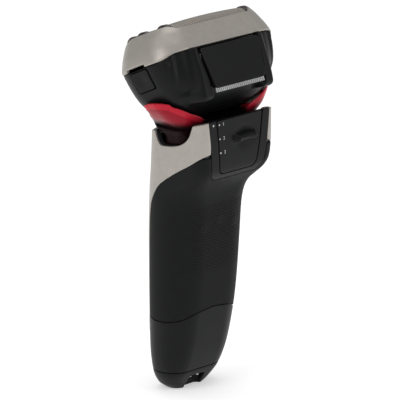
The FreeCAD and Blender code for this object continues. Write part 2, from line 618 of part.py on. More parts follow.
hinge_pin = rod("hinge_rod", "x", hinge_y, hinge_z, "trimmer_pin", "-trimmer_half + 0.4", "trimmer_half - 0.4")


def in_head(name, *solids):
    """Undo the head's tilt, so shapes drawn in the whole can cut head pieces."""
    held = doc.addObject("Part::Compound", name)
    held.Links = list(solids)
    held.Placement = Placement(Vector(), Rotation(Vector(1, 0, 0), -25))
    return bind(held, Placement__Rotation__Angle="-head_tilt",
                Placement__Base__y="-head_y * cos(head_tilt) - head_z * sin(head_tilt)",
                Placement__Base__z="head_y * sin(head_tilt) - head_z * cos(head_tilt)")


head_shell = cut("head_shell", hull_outer, hull_inner, trimmer_room, *button_rooms)
pin_bosses = mirrored_pair(
    lambda name, low, high: rod(name, "x", "head_y", pivot_z, "head_pin + 1.4", low, high),
    "pin_boss", "24.4 * long", "28.5 * long")
inner_bosses = keep("inner_bosses", hull_outer, join("boss_pair", in_head("boss_frame", *pin_bosses)))
node("head_base", cut("base_body", join("base_raw", head_shell, inner_bosses, *hinge_lugs, *hinge_eyes), hinge_pin,
                      in_head("pin_frame", *pivot_pins)), head=True)

# ---------------------------------------------------------------- drive inside the head

deck_slab = box("deck_slab", -50, 50, -30, 30, 9.0, 10.6)
post_spots = ("-foil_pitch", "0", "foil_pitch")
post_slots = [box(f"post_slot_{k}", "-post_radius - stroke - 0.6", "post_radius + stroke + 0.6",
                  f"{y} - post_radius - 0.5", f"{y} + post_radius + 0.5", 8, 12)
              for k, y in enumerate(post_spots)]
deck_gaps = mirrored_pair(box, "deck_gap", "27.8 * long", "50", "-7 * thick", "5 * thick", "8.9", "11")
deck_ribs = mirrored_pair(box, "deck_rib", "25.6 * long", "27.0 * long", "-4 * thick", "2 * thick", "3", "9.4")
post_x = "21 * long"
frame_posts = [rod(f"frame_post_{k}", "z", f"{sx} * {post_x}", "-2", 1.9, -8.2, 9) for k, sx in enumerate((-1, 1))]
frame_bores = [rod(f"frame_bore_{k}", "z", f"{sx} * {post_x}", "-2", 0.9, 3, 14) for k, sx in enumerate((-1, 1))]
node("head_deck", cut("deck_body", join("deck_raw", keep("deck_disc", hull_inner, deck_slab), *deck_ribs),
                      *deck_gaps, *post_slots, *frame_bores), head=True)
base_slab = box("base_slab", -50, 50, -30, 30, -9.4, -8.0)
node("motor_frame", cut("frame_raw", join("frame_solid", keep("frame_plate", hull_inner, base_slab),
                                          *frame_posts), *frame_bores), head=True)
node("deck_screws", *[join(f"deck_screw_{k}", rod(f"deck_shank_{k}", "z", f"{sx} * {post_x}", "-2", 0.9, 4, 10.8),
                           rod(f"deck_head_{k}", "z", f"{sx} * {post_x}", "-2", 1.7, 10.6, 11.6))
                      for k, sx in enumerate((-1, 1))], head=True)
core_plate = box("core_plate", -12, 12, -7.5, 6.5, -8, -5.6)
core_poles = [box(f"core_pole_{k}", x0, x1, -5, 4, -5.8, 0.4) for k, (x0, x1) in
              enumerate(((-11, -8), (-1.6, 1.6), (8, 11)))]
node("motor_core", join("core_body", core_plate, *core_poles), head=True)
node("motor_coil", cut("coil_body", box("coil_block", -6.6, 6.6, -6.6, 5.6, -5.4, -0.2), core_poles[1],
                       box("coil_bore", -1.7, 1.7, -5.1, 4.1, -6, 1)), head=True)

rail_half = f"{post_x} - 7"
rail_a = box("rail_a", f"-({rail_half})", rail_half, "-foil_pitch - 3", "foil_pitch + 3", 5.8, 7.2)
rail_a_window = box("rail_a_window", "-post_radius - 2 * stroke - 1", "post_radius + 2 * stroke + 1",
                    "-post_radius - 0.8", "post_radius + 0.8", 5, 8)
posts_a = [rod(f"post_a_{k}", "z", 0, y, "post_radius", 6, 17) for k, y in enumerate(("-foil_pitch", "foil_pitch"))]
node("drive_rail_outer", join("rail_outer_body", cut("rail_a_open", rail_a, rail_a_window), *posts_a), head=True)
node("drive_rail_center", join("rail_center_body", box("rail_b", f"-({rail_half}) + 2", f"{rail_half} - 2", -5.2, 4.2, 3.0, 4.4),
                               rod("post_b", "z", 0, 0, "post_radius", 4, 17)), head=True)
node("magnets_outer", *[box(f"magnet_a_{k}", x0, x1, y0, y1, 3.6, 5.8) for k, (x0, x1, y0, y1) in
                        enumerate(((-9, -1, "foil_pitch - 3", "foil_pitch + 2"),
                                   (1, 9, "foil_pitch - 3", "foil_pitch + 2"),
                                   (-9, -1, "-foil_pitch - 2", "-foil_pitch + 2.8"),
                                   (1, 9, "-foil_pitch - 2", "-foil_pitch + 2.8")))], head=True)
node("magnets_center", *[box(f"magnet_b_{k}", x0, x1, -4.4, 3.4, 1.2, 3.0)
                         for k, (x0, x1) in enumerate(((-9, -0.8), (0.8, 9)))], head=True)
leaf_sheets = mirrored_pair(box, "leaf_sheet", f"{post_x} - 4.4", f"{post_x} - 4", -5, 4, -8, 8.4)
leaf_tabs = mirrored_pair(box, "leaf_tab", f"{post_x} - 5.5", f"{post_x} - 4.2", -3, 2, 5.9, 7.1)
node("motor_springs", *[join(f"leaf_{k}", *pair) for k, pair in enumerate(zip(leaf_sheets, leaf_tabs))], head=True)

# ---------------------------------------------------------------- foils and blades

bow_base = "(foil_crest - foil_bow)"


def bowed(name, points, half_angle, arch=None):
    """A section in the head's middle plane swept about the low axis that gives the foils their bow."""
    body = doc.addObject("PartDesign::Body", name)
    sketch = new_sketch(body, "YZ_Plane", 0)
    if arch is None:
        outline(sketch, points)
    else:
        arch_outline(sketch, *arch)
    turn = body.newObject("PartDesign::Revolution", name + "_turn")
    turn.Profile = sketch
    turn.ReferenceAxis = (sketch, ["H_Axis"])
    turn.Midplane = True
    turn.setExpression("Angle", named(f"2 * ({half_angle})"))
    return bind(body, Placement__Base__z=bow_base)


def arch_outline(sketch, centre, radius, sheet_size, base, middle, level, spot):
    """Two legs under a half circle; a thin strip of that shape when sheet_size is given."""
    strip = sheet_size is not None
    rings = [(radius, 4.4), (f"{radius} - {sheet_size}", 4.15)] if strip else [(radius, 4.4)]
    low = level - 5
    edges = []
    for _, guess in rings:
        circle = Part.Circle(Vector(spot, level, 0), Vector(0, 0, 1), guess)
        edges += [Part.ArcOfCircle(circle, 0, math.pi),
                  Part.LineSegment(Vector(spot - guess, level, 0), Vector(spot - guess, low, 0)),
                  Part.LineSegment(Vector(spot + guess, low, 0), Vector(spot + guess, level, 0))]
    outer, inner = rings[0][1], rings[-1][1]
    ends = [(-outer, -inner), (inner, outer)] if strip else [(-outer, outer)]
    edges += [Part.LineSegment(Vector(spot + x0, low, 0), Vector(spot + x1, low, 0)) for x0, x1 in ends]
    sketch.addGeometry(edges, False)
    for number in range(len(rings)):
        arc, left, right = 3 * number, 3 * number + 1, 3 * number + 2
        sketch.addConstraint(Sketcher.Constraint("Tangent", arc, 2, left, 1))
        sketch.addConstraint(Sketcher.Constraint("Tangent", arc, 1, right, 2))
        sketch.addConstraint(Sketcher.Constraint("Vertical", left))
    joints = ((1, 2, 6, 1), (6, 2, 4, 2), (5, 1, 7, 1), (7, 2, 2, 1)) if strip else ((1, 2, 3, 1), (3, 2, 2, 1))
    for joint in joints:
        sketch.addConstraint(Sketcher.Constraint("Coincident", *joint))
    for line in range(3 * len(rings), len(edges)):
        sketch.addConstraint(Sketcher.Constraint("Horizontal", line))
    for number, (text, guess) in enumerate(rings):
        limit(sketch, text, "Radius", 3 * number, guess)
        limit(sketch, middle, "DistanceX", -1, 1, 3 * number, 3, float(spot))
        limit(sketch, centre, "DistanceY", -1, 1, 3 * number, 3, float(level))
    limit(sketch, base, "DistanceY", -1, 1, 1, 2, float(low))
    if strip:
        limit(sketch, base, "DistanceY", -1, 1, 2, 1, float(low))


bow_centre = "foil_bow - foil_radius"
for place, offset, spot, reach in (("front", "-foil_pitch", -9.4, 21.4), ("center", "0", 0, 25.6),
                                   ("rear", "foil_pitch", 9.4, 21.4)):
    foil_angle = f"asin({reach} * long / foil_bow)"
    blade_angle = f"asin({reach - 2.2} * long / foil_bow)"
    foil = bowed(f"foil_{place}_body", None, foil_angle,
                 (bow_centre, "foil_radius", "foil_sheet", f"{bow_centre} - foil_skirt", offset, 162, spot))
    node(f"foil_{place}", foil, head=True)

    caps = []
    for k, sx in enumerate((-1, 1)):
        near, far = f"{reach + 0.3:.1f} * long", f"{reach + 3.4:.1f} * long"
        low, high = (near, far) if sx > 0 else (f"-{far}", f"-{near}")
        body = doc.addObject("PartDesign::Body", f"cap_{place}_{k}")
        sketch = new_sketch(body, "YZ_Plane", low)
        arch_outline(sketch, "foil_centre - 1.7", "foil_radius", None, "foil_centre - foil_skirt - 0.6", offset, 20,
                     spot)
        pad = body.newObject("PartDesign::Pad", f"cap_{place}_{k}_pad")
        pad.Profile = sketch
        pad.setExpression("Length", named(f"({high}) - ({low})"))
        caps.append(body)
    node(f"foil_caps_{place}", *caps, head=True)

    body = doc.addObject("PartDesign::Body", f"blade_{place}_body")
    sketch = new_sketch(body, "YZ_Plane", "-blade_sheet / 2")
    arch_outline(sketch, bow_centre, "blade_radius", None, f"{bow_centre} - 3.2", offset, 162, spot)
    leaf = body.newObject("PartDesign::Pad", f"blade_{place}_leaf")
    leaf.Profile = sketch
    leaf.setExpression("Length", named("blade_sheet"))
    fan = body.newObject("PartDesign::PolarPattern", f"blade_{place}_fan")
    fan.Originals = [leaf]
    fan.Axis = (sketch, ["H_Axis"])
    fan.setExpression("Angle", named(f"2 * ({blade_angle})"))
    fan.setExpression("Occurrences", named("blade_count"))
    body.Tip = fan
    fan_body = doc.addObject("Part::Compound", f"blade_{place}_level")
    fan_body.Links = [body]
    fan_body.Placement = Placement(Vector(), Rotation(Vector(0, 1, 0), -8))
    bind(fan_body, Placement__Rotation__Angle=f"-({blade_angle})", Placement__Base__z=bow_base)
    spine = bowed(f"spine_{place}", [(f"{offset} - 2.5", "foil_bow - 11"), (f"{offset} + 2.5", "foil_bow - 11"),
                                     (f"{offset} + 2.5", "foil_bow - 7"), (f"{offset} - 2.5", "foil_bow - 7")],
                  f"asin({reach - 2:.1f} * long / foil_bow)")
    socket = box(f"blade_socket_{place}", "-post_radius - 0.35", "post_radius + 0.35",
                 f"{offset} - post_radius - 0.35", f"{offset} + post_radius + 0.35",
                 "foil_crest - 14", "17 + foil_float + gap")
    node(f"blade_{place}", cut(f"blade_{place}_done", join(f"blade_{place}_join", fan_body, spine), socket),
         head=True)

node("blade_springs", *[coil(f"blade_spring_{k}", "z", 0, y, "post_radius + stroke + 0.7", 0.25, 10.65, 14.0, 3)
                        for k, y in enumerate(post_spots)], head=True)

# ---------------------------------------------------------------- foil frame

FRAME_ROWS = [(12.3, 34.0, -18.5, 18.5, 13, 13), (22.9, 31.6, -16.3, 16.3, 10.5, 10.5)]


def frame_loft(name, inset="0", grow=0.0):
    (z0, *low), (z1, *high) = FRAME_ROWS
    rows = [(f"{z0} - {grow}", *low), (f"{z0} + frame_height + {grow}", *high)]
    return loft(name, rows, ("long", "thick"), inset)


frame_outer = frame_loft("frame_outer")
frame_inner = frame_loft("frame_inner", "frame_wall", 0.2)
notches = mirrored_pair(box, "frame_notch", "30 * long", "40 * long", "-2.6", "0.6", "12", "13.4")
node("foil_frame", cut("frame_body", frame_outer, frame_inner, *notches), head=True)
holder_slab = box("holder_slab", -50, 50, -30, 30, "foil_centre - foil_skirt - 4.2", "foil_centre - foil_skirt - 3.5")
holder_half = "(blade_radius + 0.2)"
windows = [box(f"holder_window_{k}", "-24.4 * long", "24.4 * long", f"{y} - {holder_half}", f"{y} + {holder_half}",
               10, 20)
           for k, y in enumerate(post_spots)]
node("foil_holder", cut("holder_body", keep("holder_disc", frame_inner, holder_slab), *windows), head=True)

# Release buttons on both ends, each with its return spring.
key_outline = [("-6 * thick", "2.4"), ("4 * thick", "2.4"), ("4 * thick", "10.8"), ("-6 * thick", "10.8")]
coils = []
for side, low, high, spring_low, spring_high in (
        ("left", "30.4 * long", "33.7 * long", "27.2 * long", "29.0 * long"),
        ("right", "-33.7 * long", "-30.4 * long", "-29.0 * long", "-27.2 * long")):
    node(f"release_{side}", prism(f"release_{side}_key", "YZ_Plane", key_outline, low, high,
                                  {"0.9": [0, 1, 2, 3]}), head=True)
    coils.append(coil(f"release_coil_{side}", "x", "-1 * thick", 6.4, 1.5, 0.22, spring_low, spring_high, 3))
node("release_springs", *coils, head=True)

# ---------------------------------------------------------------- long-hair trimmer

plate = prism("trimmer_skin", "XZ_Plane",
              [("-trimmer_half", plate_top), ("-trimmer_half + 2.6", plate_low),
               ("trimmer_half - 2.6", plate_low), ("trimmer_half", plate_top)],
              "19.2 * thick", trimmer_face, {"1.2": [0, 1, 2, 3]})
knuckles = mirrored_pair(box, "knuckle", "trimmer_half - 7", "trimmer_half - 3", "17.9 * thick",
                         "19.4 * thick", "8.5", "10.3")
knuckle_bore = rod("knuckle_bore", "x", hinge_y, hinge_z, "trimmer_pin + fit", -30, 30)
tooth_count = 26
comb_low = f"{plate_low} - 1.6"
comb_high = f"{plate_low} + 3"
comb_plate = box("comb_plate", "-trimmer_half + 3", "trimmer_half - 3", "18.85 * thick", "19.2 * thick",
                 f"{plate_low} - 0.2", comb_high)
comb_teeth = [box(f"comb_tooth_{k}", f"(trimmer_half - 3.4) * {2 * k / (tooth_count - 1) - 1:.4f} - 0.35",
                  f"(trimmer_half - 3.4) * {2 * k / (tooth_count - 1) - 1:.4f} + 0.35",
                  "18.85 * thick", "19.2 * thick", comb_low, f"{plate_low} + 0.2") for k in range(tooth_count)]
node("trimmer_cover", cut("trimmer_body", join("trimmer_raw", plate, *knuckles), knuckle_bore), head=True)
node("trimmer_comb", join("comb_body", comb_plate, *comb_teeth), head=True)
edge_plate = box("edge_plate", "-trimmer_half + 4.4", "trimmer_half - 4.4", "18.3 * thick", "18.75 * thick",
                 f"{plate_low} - 0.1", f"{plate_low} + 3.4")
edge_teeth = [box(f"edge_tooth_{k}", f"(trimmer_half - 5) * {2 * k / 23 - 1:.4f} - 0.3",
                  f"(trimmer_half - 5) * {2 * k / 23 - 1:.4f} + 0.3",
                  "18.3 * thick", "18.75 * thick", f"{comb_low} + 0.2", f"{plate_low} + 0.1") for k in range(24)]
node("trimmer_blade", join("edge_body", edge_plate, *edge_teeth), head=True)
node("trimmer_hinge_pin", hinge_pin, head=True)

# ---------------------------------------------------------------- check and export

doc.recompute()
troubles = [thing.Name for thing in doc.Objects if "Invalid" in thing.State or "Error" in thing.State]
if troubles:
    raise RuntimeError(f"objects that did not build: {troubles}")
os.makedirs("parts", exist_ok=True)
for piece in nodes:
    if piece.Shape.isNull() or not piece.Shape.isValid() or not piece.Shape.Solids:
        raise RuntimeError(f"{piece.Label} has no valid solid")
    piece.Shape.exportStep(f"parts/{piece.Label}.step")
    print(f"{piece.Label:22} solids {len(piece.Shape.Solids):3}  volume {piece.Shape.Volume:10.1f}")
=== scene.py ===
import math
import bmesh
import bpy
import numpy as np
from mathutils import Matrix, Vector
from mathutils.geometry import delaunay_2d_cdt


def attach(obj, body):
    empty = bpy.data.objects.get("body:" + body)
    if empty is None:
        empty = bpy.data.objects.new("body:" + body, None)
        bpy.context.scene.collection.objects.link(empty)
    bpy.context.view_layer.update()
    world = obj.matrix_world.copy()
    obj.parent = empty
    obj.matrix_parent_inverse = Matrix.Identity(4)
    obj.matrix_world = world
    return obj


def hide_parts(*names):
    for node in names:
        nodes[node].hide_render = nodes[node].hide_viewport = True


# Looks of the three-foil shaver. Shapes are drawn in millimetres in the handle's or the head's
# own frame and placed in metres at the end. +Z runs up the handle, +Y is the switch side.

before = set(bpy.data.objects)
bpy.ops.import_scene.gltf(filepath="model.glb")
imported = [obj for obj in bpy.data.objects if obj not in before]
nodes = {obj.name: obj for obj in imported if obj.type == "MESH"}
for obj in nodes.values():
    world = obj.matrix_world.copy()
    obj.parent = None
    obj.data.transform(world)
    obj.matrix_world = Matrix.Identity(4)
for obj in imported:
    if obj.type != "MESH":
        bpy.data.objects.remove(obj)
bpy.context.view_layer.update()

MM = 0.001
HEAD_TILT = math.radians(25)
HEAD_ORIGIN = (0, 12, 134)

WORLD = Matrix.Scale(MM, 4)
TO_HEAD = Matrix.Translation(HEAD_ORIGIN) @ Matrix.Rotation(HEAD_TILT, 4, "X")
HEAD = WORLD @ Matrix.Translation(HEAD_ORIGIN) @ Matrix.Rotation(HEAD_TILT, 4, "X")
SIDES = (("left", 1), ("right", -1))


# ---------------- curves and skins

def curve(xs, ys, x):
    """A smooth curve through points that never overshoots them (monotone cubic)."""
    xs, ys = np.asarray(xs, float), np.asarray(ys, float)
    x = np.clip(np.asarray(x, float), xs[0], xs[-1])
    step = np.diff(xs)
    slope = np.diff(ys) / step
    w1, w2 = 2 * step[1:] + step[:-1], step[1:] + 2 * step[:-1]
    with np.errstate(divide="ignore", invalid="ignore"):
        mean = (w1 + w2) / (w1 / slope[:-1] + w2 / slope[1:])
    inner = np.where(slope[:-1] * slope[1:] > 0, mean, 0)
    m = np.concatenate([slope[:1], inner, slope[-1:]])
    k = np.clip(np.searchsorted(xs, x) - 1, 0, len(step) - 1)
    u = (x - xs[k]) / step[k]
    rise = ys[k] * (1 + 2 * u) * (1 - u) ** 2 + ys[k + 1] * u * u * (3 - 2 * u)
    return rise + step[k] * (m[k] * u * (1 - u) ** 2 + m[k + 1] * u * u * (u - 1))


def smooth(low, high, x):
    u = np.clip((np.asarray(x, float) - low) / (high - low), 0, 1)
    return u * u * (3 - 2 * u)


class Skin:
    """A smooth surface through rounded sections, each (z, half width, front, rear, r_front, r_rear).
    A place on it is (t, z): t runs 0 at the front centre to +1 or -1 at the rear centre.
    Unrolled flat, that is (t * unroll, z)."""

    def __init__(self, rows, unroll):
        self.rows = np.array(rows, float)
        self.unroll = unroll

    def section(self, z):
        return [curve(self.rows[:, 0], self.rows[:, k], z) for k in range(1, 6)]

    def runs(self, z):
        half, front, rear, rf, rr = self.section(z)
        quarter = math.pi / 2
        lengths = [half - rf, rf * quarter, rear - front - rf - rr, rr * quarter, half - rr]
        return half, front, rear, rf, rr, np.cumsum(np.array(lengths), axis=0)

    def base(self, t, z):
        t = (np.asarray(t, float) + 1) % 2 - 1
        half, front, rear, rf, rr, ends = self.runs(z)
        s = np.abs(t) * ends[4]
        a = (s - ends[0]) / rf
        b = (s - ends[2]) / rr
        runs = [s < end for end in ends[:4]]
        x = np.select(runs, [s, half - rf + rf * np.sin(a), half, half - rr + rr * np.cos(b)],
                      half - rr - (s - ends[3]))
        y = np.select(runs, [front, front + rf - rf * np.cos(a), front + rf + s - ends[1],
                             rear - rr + rr * np.sin(b)], rear)
        return np.stack([x * np.where(t < 0, -1, 1), y, np.asarray(z, float) + 0 * x], axis=-1)

    def normal(self, t, z):
        across = self.base(t + 0.004, z) - self.base(t - 0.004, z)
        up = self.base(t, z + 0.1) - self.base(t, z - 0.1)
        out = np.cross(across, up)
        return out / np.maximum(np.linalg.norm(out, axis=-1, keepdims=True), 1e-9)

    def point(self, t, z, out=0.0):
        t, z = np.asarray(t, float), np.asarray(z, float)
        return self.base(t, z) + self.normal(t, z) * (np.asarray(out, float) + 0 * t)[..., None]

    def at_side(self, y, z):
        half, front, rear, rf, rr, ends = self.runs(z)
        low = ends[0] + rf * np.arccos(np.clip(1 - (y - front) / rf, -1, 1))
        high = ends[2] + rr * np.arcsin(np.clip((y - rear + rr) / rr, -1, 1))
        s = np.where(y < front + rf, low, np.where(y < rear - rr, ends[1] + y - front - rf, high))
        return s / ends[4]

    def at_front(self, x, z):
        half, front, rear, rf, rr, ends = self.runs(z)
        bend = ends[0] + rf * np.arcsin(np.clip((np.abs(x) - half + rf) / rf, 0, 1))
        return np.sign(x) * np.where(np.abs(x) < half - rf, np.abs(x), bend) / ends[4]

    def at_rear(self, x, z):
        """Runs past 1 for the -X side, so that an outline can cross the rear centre."""
        half, front, rear, rf, rr, ends = self.runs(z)
        bend = ends[2] + rr * np.arccos(np.clip((np.abs(x) - half + rr) / rr, 0, 1))
        t = np.where(np.abs(x) < half - rr, ends[4] - np.abs(x), bend) / ends[4]
        return np.where(np.asarray(x) < 0, 2 - t, t)


HANDLE = Skin([
    (0, 8.8, -5.2, 3.4, 4.0, 4.0),
    (2.6, 12.3, -7.4, 5.0, 5.9, 5.9),
    (8, 15.6, -8.4, 8.4, 8.1, 8.1),
    (20, 18.2, -9.0, 12.9, 10.6, 10.6),
    (44, 20.2, -9.0, 17.3, 13.0, 13.0),
    (66, 20.9, -8.9, 19.1, 13.8, 13.8),
    (80, 21.2, -8.5, 20.0, 14.0, 14.0),
    (87, 21.3, -8.1, 21.1, 14.0, 13.2),
    (91.3, 21.4, -7.8, 22.8, 14.0, 11.5),
    (94.7, 21.4, -7.5, 25.7, 14.0, 9.0),
    (98.2, 21.4, -7.2, 29.0, 14.0, 7.0),
    (102, 21.5, -6.9, 30.7, 14.0, 5.6),
    (107, 21.5, -6.6, 31.3, 14.0, 5.0),
    (114, 21.5, -6.3, 31.6, 14.0, 5.0),
    (127, 21.5, -5.9, 31.6, 14.0, 5.0),
], 60)
HULL = Skin([
    (-13.0, 16.5, -5.6, 4.0, 4.2, 4.2),
    (-9.6, 23.0, -10.6, 9.6, 7.2, 7.2),
    (-5.0, 28.0, -14.4, 14.6, 10.2, 10.2),
    (2.0, 31.4, -17.0, 17.6, 12.2, 12.2),
    (12.0, 33.6, -18.2, 18.4, 13.0, 13.0),
    (14.0, 33.8, -18.3, 18.5, 13.0, 13.0),
], 90)
YOKE = Skin([
    (108, 17.2, 5.2, 18.7, 5, 5),
    (111, 19.2, 4.9, 20.5, 5, 5),
    (113.6, 19.5, 4.6, 20.9, 5.5, 5.5),
    (115.6, 19.8, 1.0, 21.2, 6, 6),
    (117, 20.5, -0.6, 21.6, 6.4, 6.4),
    (120, 23.4, 0.4, 22.6, 7.4, 7.4),
    (123.5, 27.2, 0.9, 23.4, 8.6, 8.6),
    (127.5, 30.4, -0.6, 23.4, 9.8, 9.8),
    (133, 33.2, -5.2, 22.0, 11, 11),
], 80)
FRAME = Skin([
    (11.4, 34.0, -18.5, 18.5, 13.0, 13.0),
    (12.6, 33.9, -18.4, 18.5, 13.0, 13.0),
    (16.0, 33.1, -17.6, 17.9, 13.0, 13.0),
    (18.8, 32.0, -16.9, 17.2, 13.0, 13.0),
    (22.2, 30.2, -15.9, 16.3, 12.6, 12.6),
    (24.0, 29.0, -15.2, 15.6, 12.3, 12.3),
    (26.0, 27.6, -14.4, 14.8, 12.0, 12.0),
], 90)


# ---------------- mesh helpers

def link(name, data):
    thing = bpy.data.objects.new(name, data)
    bpy.context.scene.collection.objects.link(thing)
    return thing


def mesh_of(name, verts, faces):
    mesh = bpy.data.meshes.new(name)
    mesh.from_pydata([tuple(v) for v in verts], [], faces)
    return mesh


def new_object(name, verts, faces, place, body, look, slot=None, bend_limit=38):
    mesh = mesh_of(name, verts, faces)
    mesh.validate()
    return finish_piece(link(name, mesh), place, body, look, slot, bend_limit)


def finish_piece(piece, place, body, look, slot=None, bend_limit=38):
    """Cleans a piece drawn in millimetres, places it, and gives it its body and its finish.
    The slot argument, the finish's own name unless another is given, is worked out but not used."""
    mesh = piece.data
    tidy = bmesh.new()
    tidy.from_mesh(mesh)
    bmesh.ops.remove_doubles(tidy, verts=tidy.verts, dist=1e-4)
    bmesh.ops.recalc_face_normals(tidy, faces=tidy.faces)
    tidy.to_mesh(mesh)
    tidy.free()
    mesh.shade_smooth()
    mesh.set_sharp_from_angle(angle=math.radians(bend_limit))
    mesh.transform(place)
    mesh.materials.clear()
    mesh.materials.append(MATERIALS[look])
    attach(piece, body)
    slot = look if slot is None else slot
    return piece


def rough_object(name, verts, faces):
    """A closed mesh in millimetres, used to carve or to be carved."""
    mesh = mesh_of(name, verts, faces)
    solid = bmesh.new()
    solid.from_mesh(mesh)
    bmesh.ops.recalc_face_normals(solid, faces=solid.faces)
    solid.to_mesh(mesh)
    solid.free()
    return link(name, mesh)


def apply_modifiers(thing):
    graph = bpy.context.evaluated_depsgraph_get()
    made = bpy.data.meshes.new_from_object(thing.evaluated_get(graph))
    thing.modifiers.clear()
    thing.data = made
    return thing


def carve(thing, *tools, operation="DIFFERENCE"):
    for tool in tools:
        step = thing.modifiers.new("carve", "BOOLEAN")
        step.operation = operation
        step.solver = "EXACT"
        step.object = tool
        apply_modifiers(thing)
        bpy.data.objects.remove(tool)
    return thing


def soften(thing, voxel, passes):
    """Even quads over the whole piece, then its edges eased as moulded plastic has them."""
    even = thing.modifiers.new("even", "REMESH")
    even.mode = "VOXEL"
    even.voxel_size = voxel
    ease = thing.modifiers.new("ease", "SMOOTH")
    ease.factor = 0.5
    ease.iterations = passes
    return apply_modifiers(thing)


def ring_faces(rows, columns, start=0, closed=False):
    """Quads between rows of points, each row a closed ring; closed joins the last row to the first."""
    faces = []
    for r in range(rows if closed else rows - 1):
        here, above = start + r * columns, start + (r + 1) % rows * columns
        for c in range(columns):
            n = (c + 1) % columns
            faces.append([here + c, here + n, above + n, above + c])
    return faces


def loft_solid(name, skin, low, high, inset=0.0, rows=40, columns=160, shape=None):
    """The closed solid inside a skin between two levels."""
    t = np.arange(columns) / columns * 2 - 1
    verts = []
    for z in np.linspace(low, high, rows):
        out = np.full(columns, -inset)
        if shape is not None:
            out = out + shape(skin.base(t, z))
        verts.extend(skin.point(t, np.full(columns, z), out))
    verts = [list(v) for v in verts]
    for k, z in ((0, low), (rows - 1, high)):
        for c in range(columns):
            verts[k * columns + c][2] = z
    faces = ring_faces(rows, columns)
    faces.append(list(range(columns)))
    faces.append([(rows - 1) * columns + c for c in range(columns)])
    return rough_object(name, verts, faces)


def prism(name, outline, axis, low, high):
    """An outline in the plane across an axis, extruded between two levels along it."""
    count = len(outline)
    verts = []
    for level in (low, high):
        for a, b in outline:
            verts.append({"x": (level, a, b), "y": (a, level, b), "z": (a, b, level)}[axis])
    faces = [list(range(count)), [count + k for k in range(count)]]
    faces += [[k, (k + 1) % count, count + (k + 1) % count, count + k] for k in range(count)]
    return rough_object(name, verts, faces)


def through(points):
    """A rounded line through points (Catmull-Rom), six steps to a span."""
    p = np.array(points, float)
    ends = np.vstack([2 * p[0] - p[1], p, 2 * p[-1] - p[-2]])
    line = []
    for k in range(1, len(ends) - 2):
        a, b, c, d = ends[k - 1:k + 3]
        for u in np.arange(6) / 6:
            line.append(0.5 * (2 * b + (c - a) * u + (2 * a - 5 * b + 4 * c - d) * u ** 2
                               + (3 * b - a - 3 * c + d) * u ** 3))
    line.append(p[-1])
    return np.array(line)


def fillet(points, radii, count=8):
    """A polygon with its corners rounded, each in a number of points."""
    line = []
    total = len(points)
    for k in range(total):
        here = np.array(points[k], float)
        to_last = np.array(points[k - 1], float) - here
        to_next = np.array(points[(k + 1) % total], float) - here
        to_last /= np.linalg.norm(to_last)
        to_next /= np.linalg.norm(to_next)
        half = math.acos(np.clip(np.dot(to_last, to_next), -1, 1)) / 2
        reach = radii[k] / math.tan(half)
        start, end = here + to_last * reach, here + to_next * reach
        middle = here + (to_last + to_next) / np.linalg.norm(to_last + to_next) * radii[k] / math.sin(half)
        first, last = start - middle, end - middle
        sweep = math.acos(np.clip(np.dot(first, last) / max(radii[k], 1e-9) ** 2, -1, 1))
        for u in np.linspace(0, 1, count):
            between = first * math.sin((1 - u) * sweep) + last * math.sin(u * sweep)
            line.append(middle + between / math.sin(sweep))
    return line


# ---------------- panels on a skin

def resample(outline, step):
    ring = []
    count = len(outline)
    for k in range(count):
        here, there = np.array(outline[k]), np.array(outline[(k + 1) % count])
        pieces = max(1, int(math.ceil(np.linalg.norm(there - here) / step)))
        ring.extend(here + (there - here) * j / pieces for j in range(pieces))
    return np.array(ring)


def inward(ring, distance):
    """The ring moved to its inside by a distance, mitred at its corners."""
    area = np.sum(ring[:, 0] * np.roll(ring[:, 1], -1) - np.roll(ring[:, 0], -1) * ring[:, 1])
    ahead = np.roll(ring, -1, axis=0) - ring
    ahead /= np.maximum(np.linalg.norm(ahead, axis=1, keepdims=True), 1e-9)
    behind = np.roll(ahead, 1, axis=0)
    side = np.stack([-(ahead + behind)[:, 1], (ahead + behind)[:, 0]], axis=1)
    length = np.maximum(np.linalg.norm(side, axis=1, keepdims=True), 1e-6)
    side = side / length
    reach = distance / np.maximum(length / 2, 0.45)
    return ring + side * reach * (1 if area > 0 else -1)


def inside(points, ring, margin):
    """Which points lie inside a ring and at least a margin from it."""
    a, b = ring, np.roll(ring, -1, axis=0)
    x, y = points[:, 0][:, None], points[:, 1][:, None]
    crosses = (a[:, 1] > y) != (b[:, 1] > y)
    with np.errstate(divide="ignore", invalid="ignore"):
        where = a[:, 0] + (y - a[:, 1]) * (b[:, 0] - a[:, 0]) / (b[:, 1] - a[:, 1])
    odd = np.sum(crosses & (x < where), axis=1) % 2 == 1
    along = b - a
    length = np.maximum(np.sum(along ** 2, axis=1), 1e-12)
    u = np.clip(((x - a[:, 0]) * along[:, 0] + (y - a[:, 1]) * along[:, 1]) / length, 0, 1)
    gap = np.hypot(x - a[:, 0] - u * along[:, 0], y - a[:, 1] - u * along[:, 1]).min(axis=1)
    return odd & (gap > margin)


# A rounded edge in steps from its outside to its top; the plain grid starts a little further in.
EDGE_ANGLES = np.radians([0, 25, 50, 72, 90])
EDGE_END, GRID_MARGIN, BATCH = 1.4, 0.25, 4000


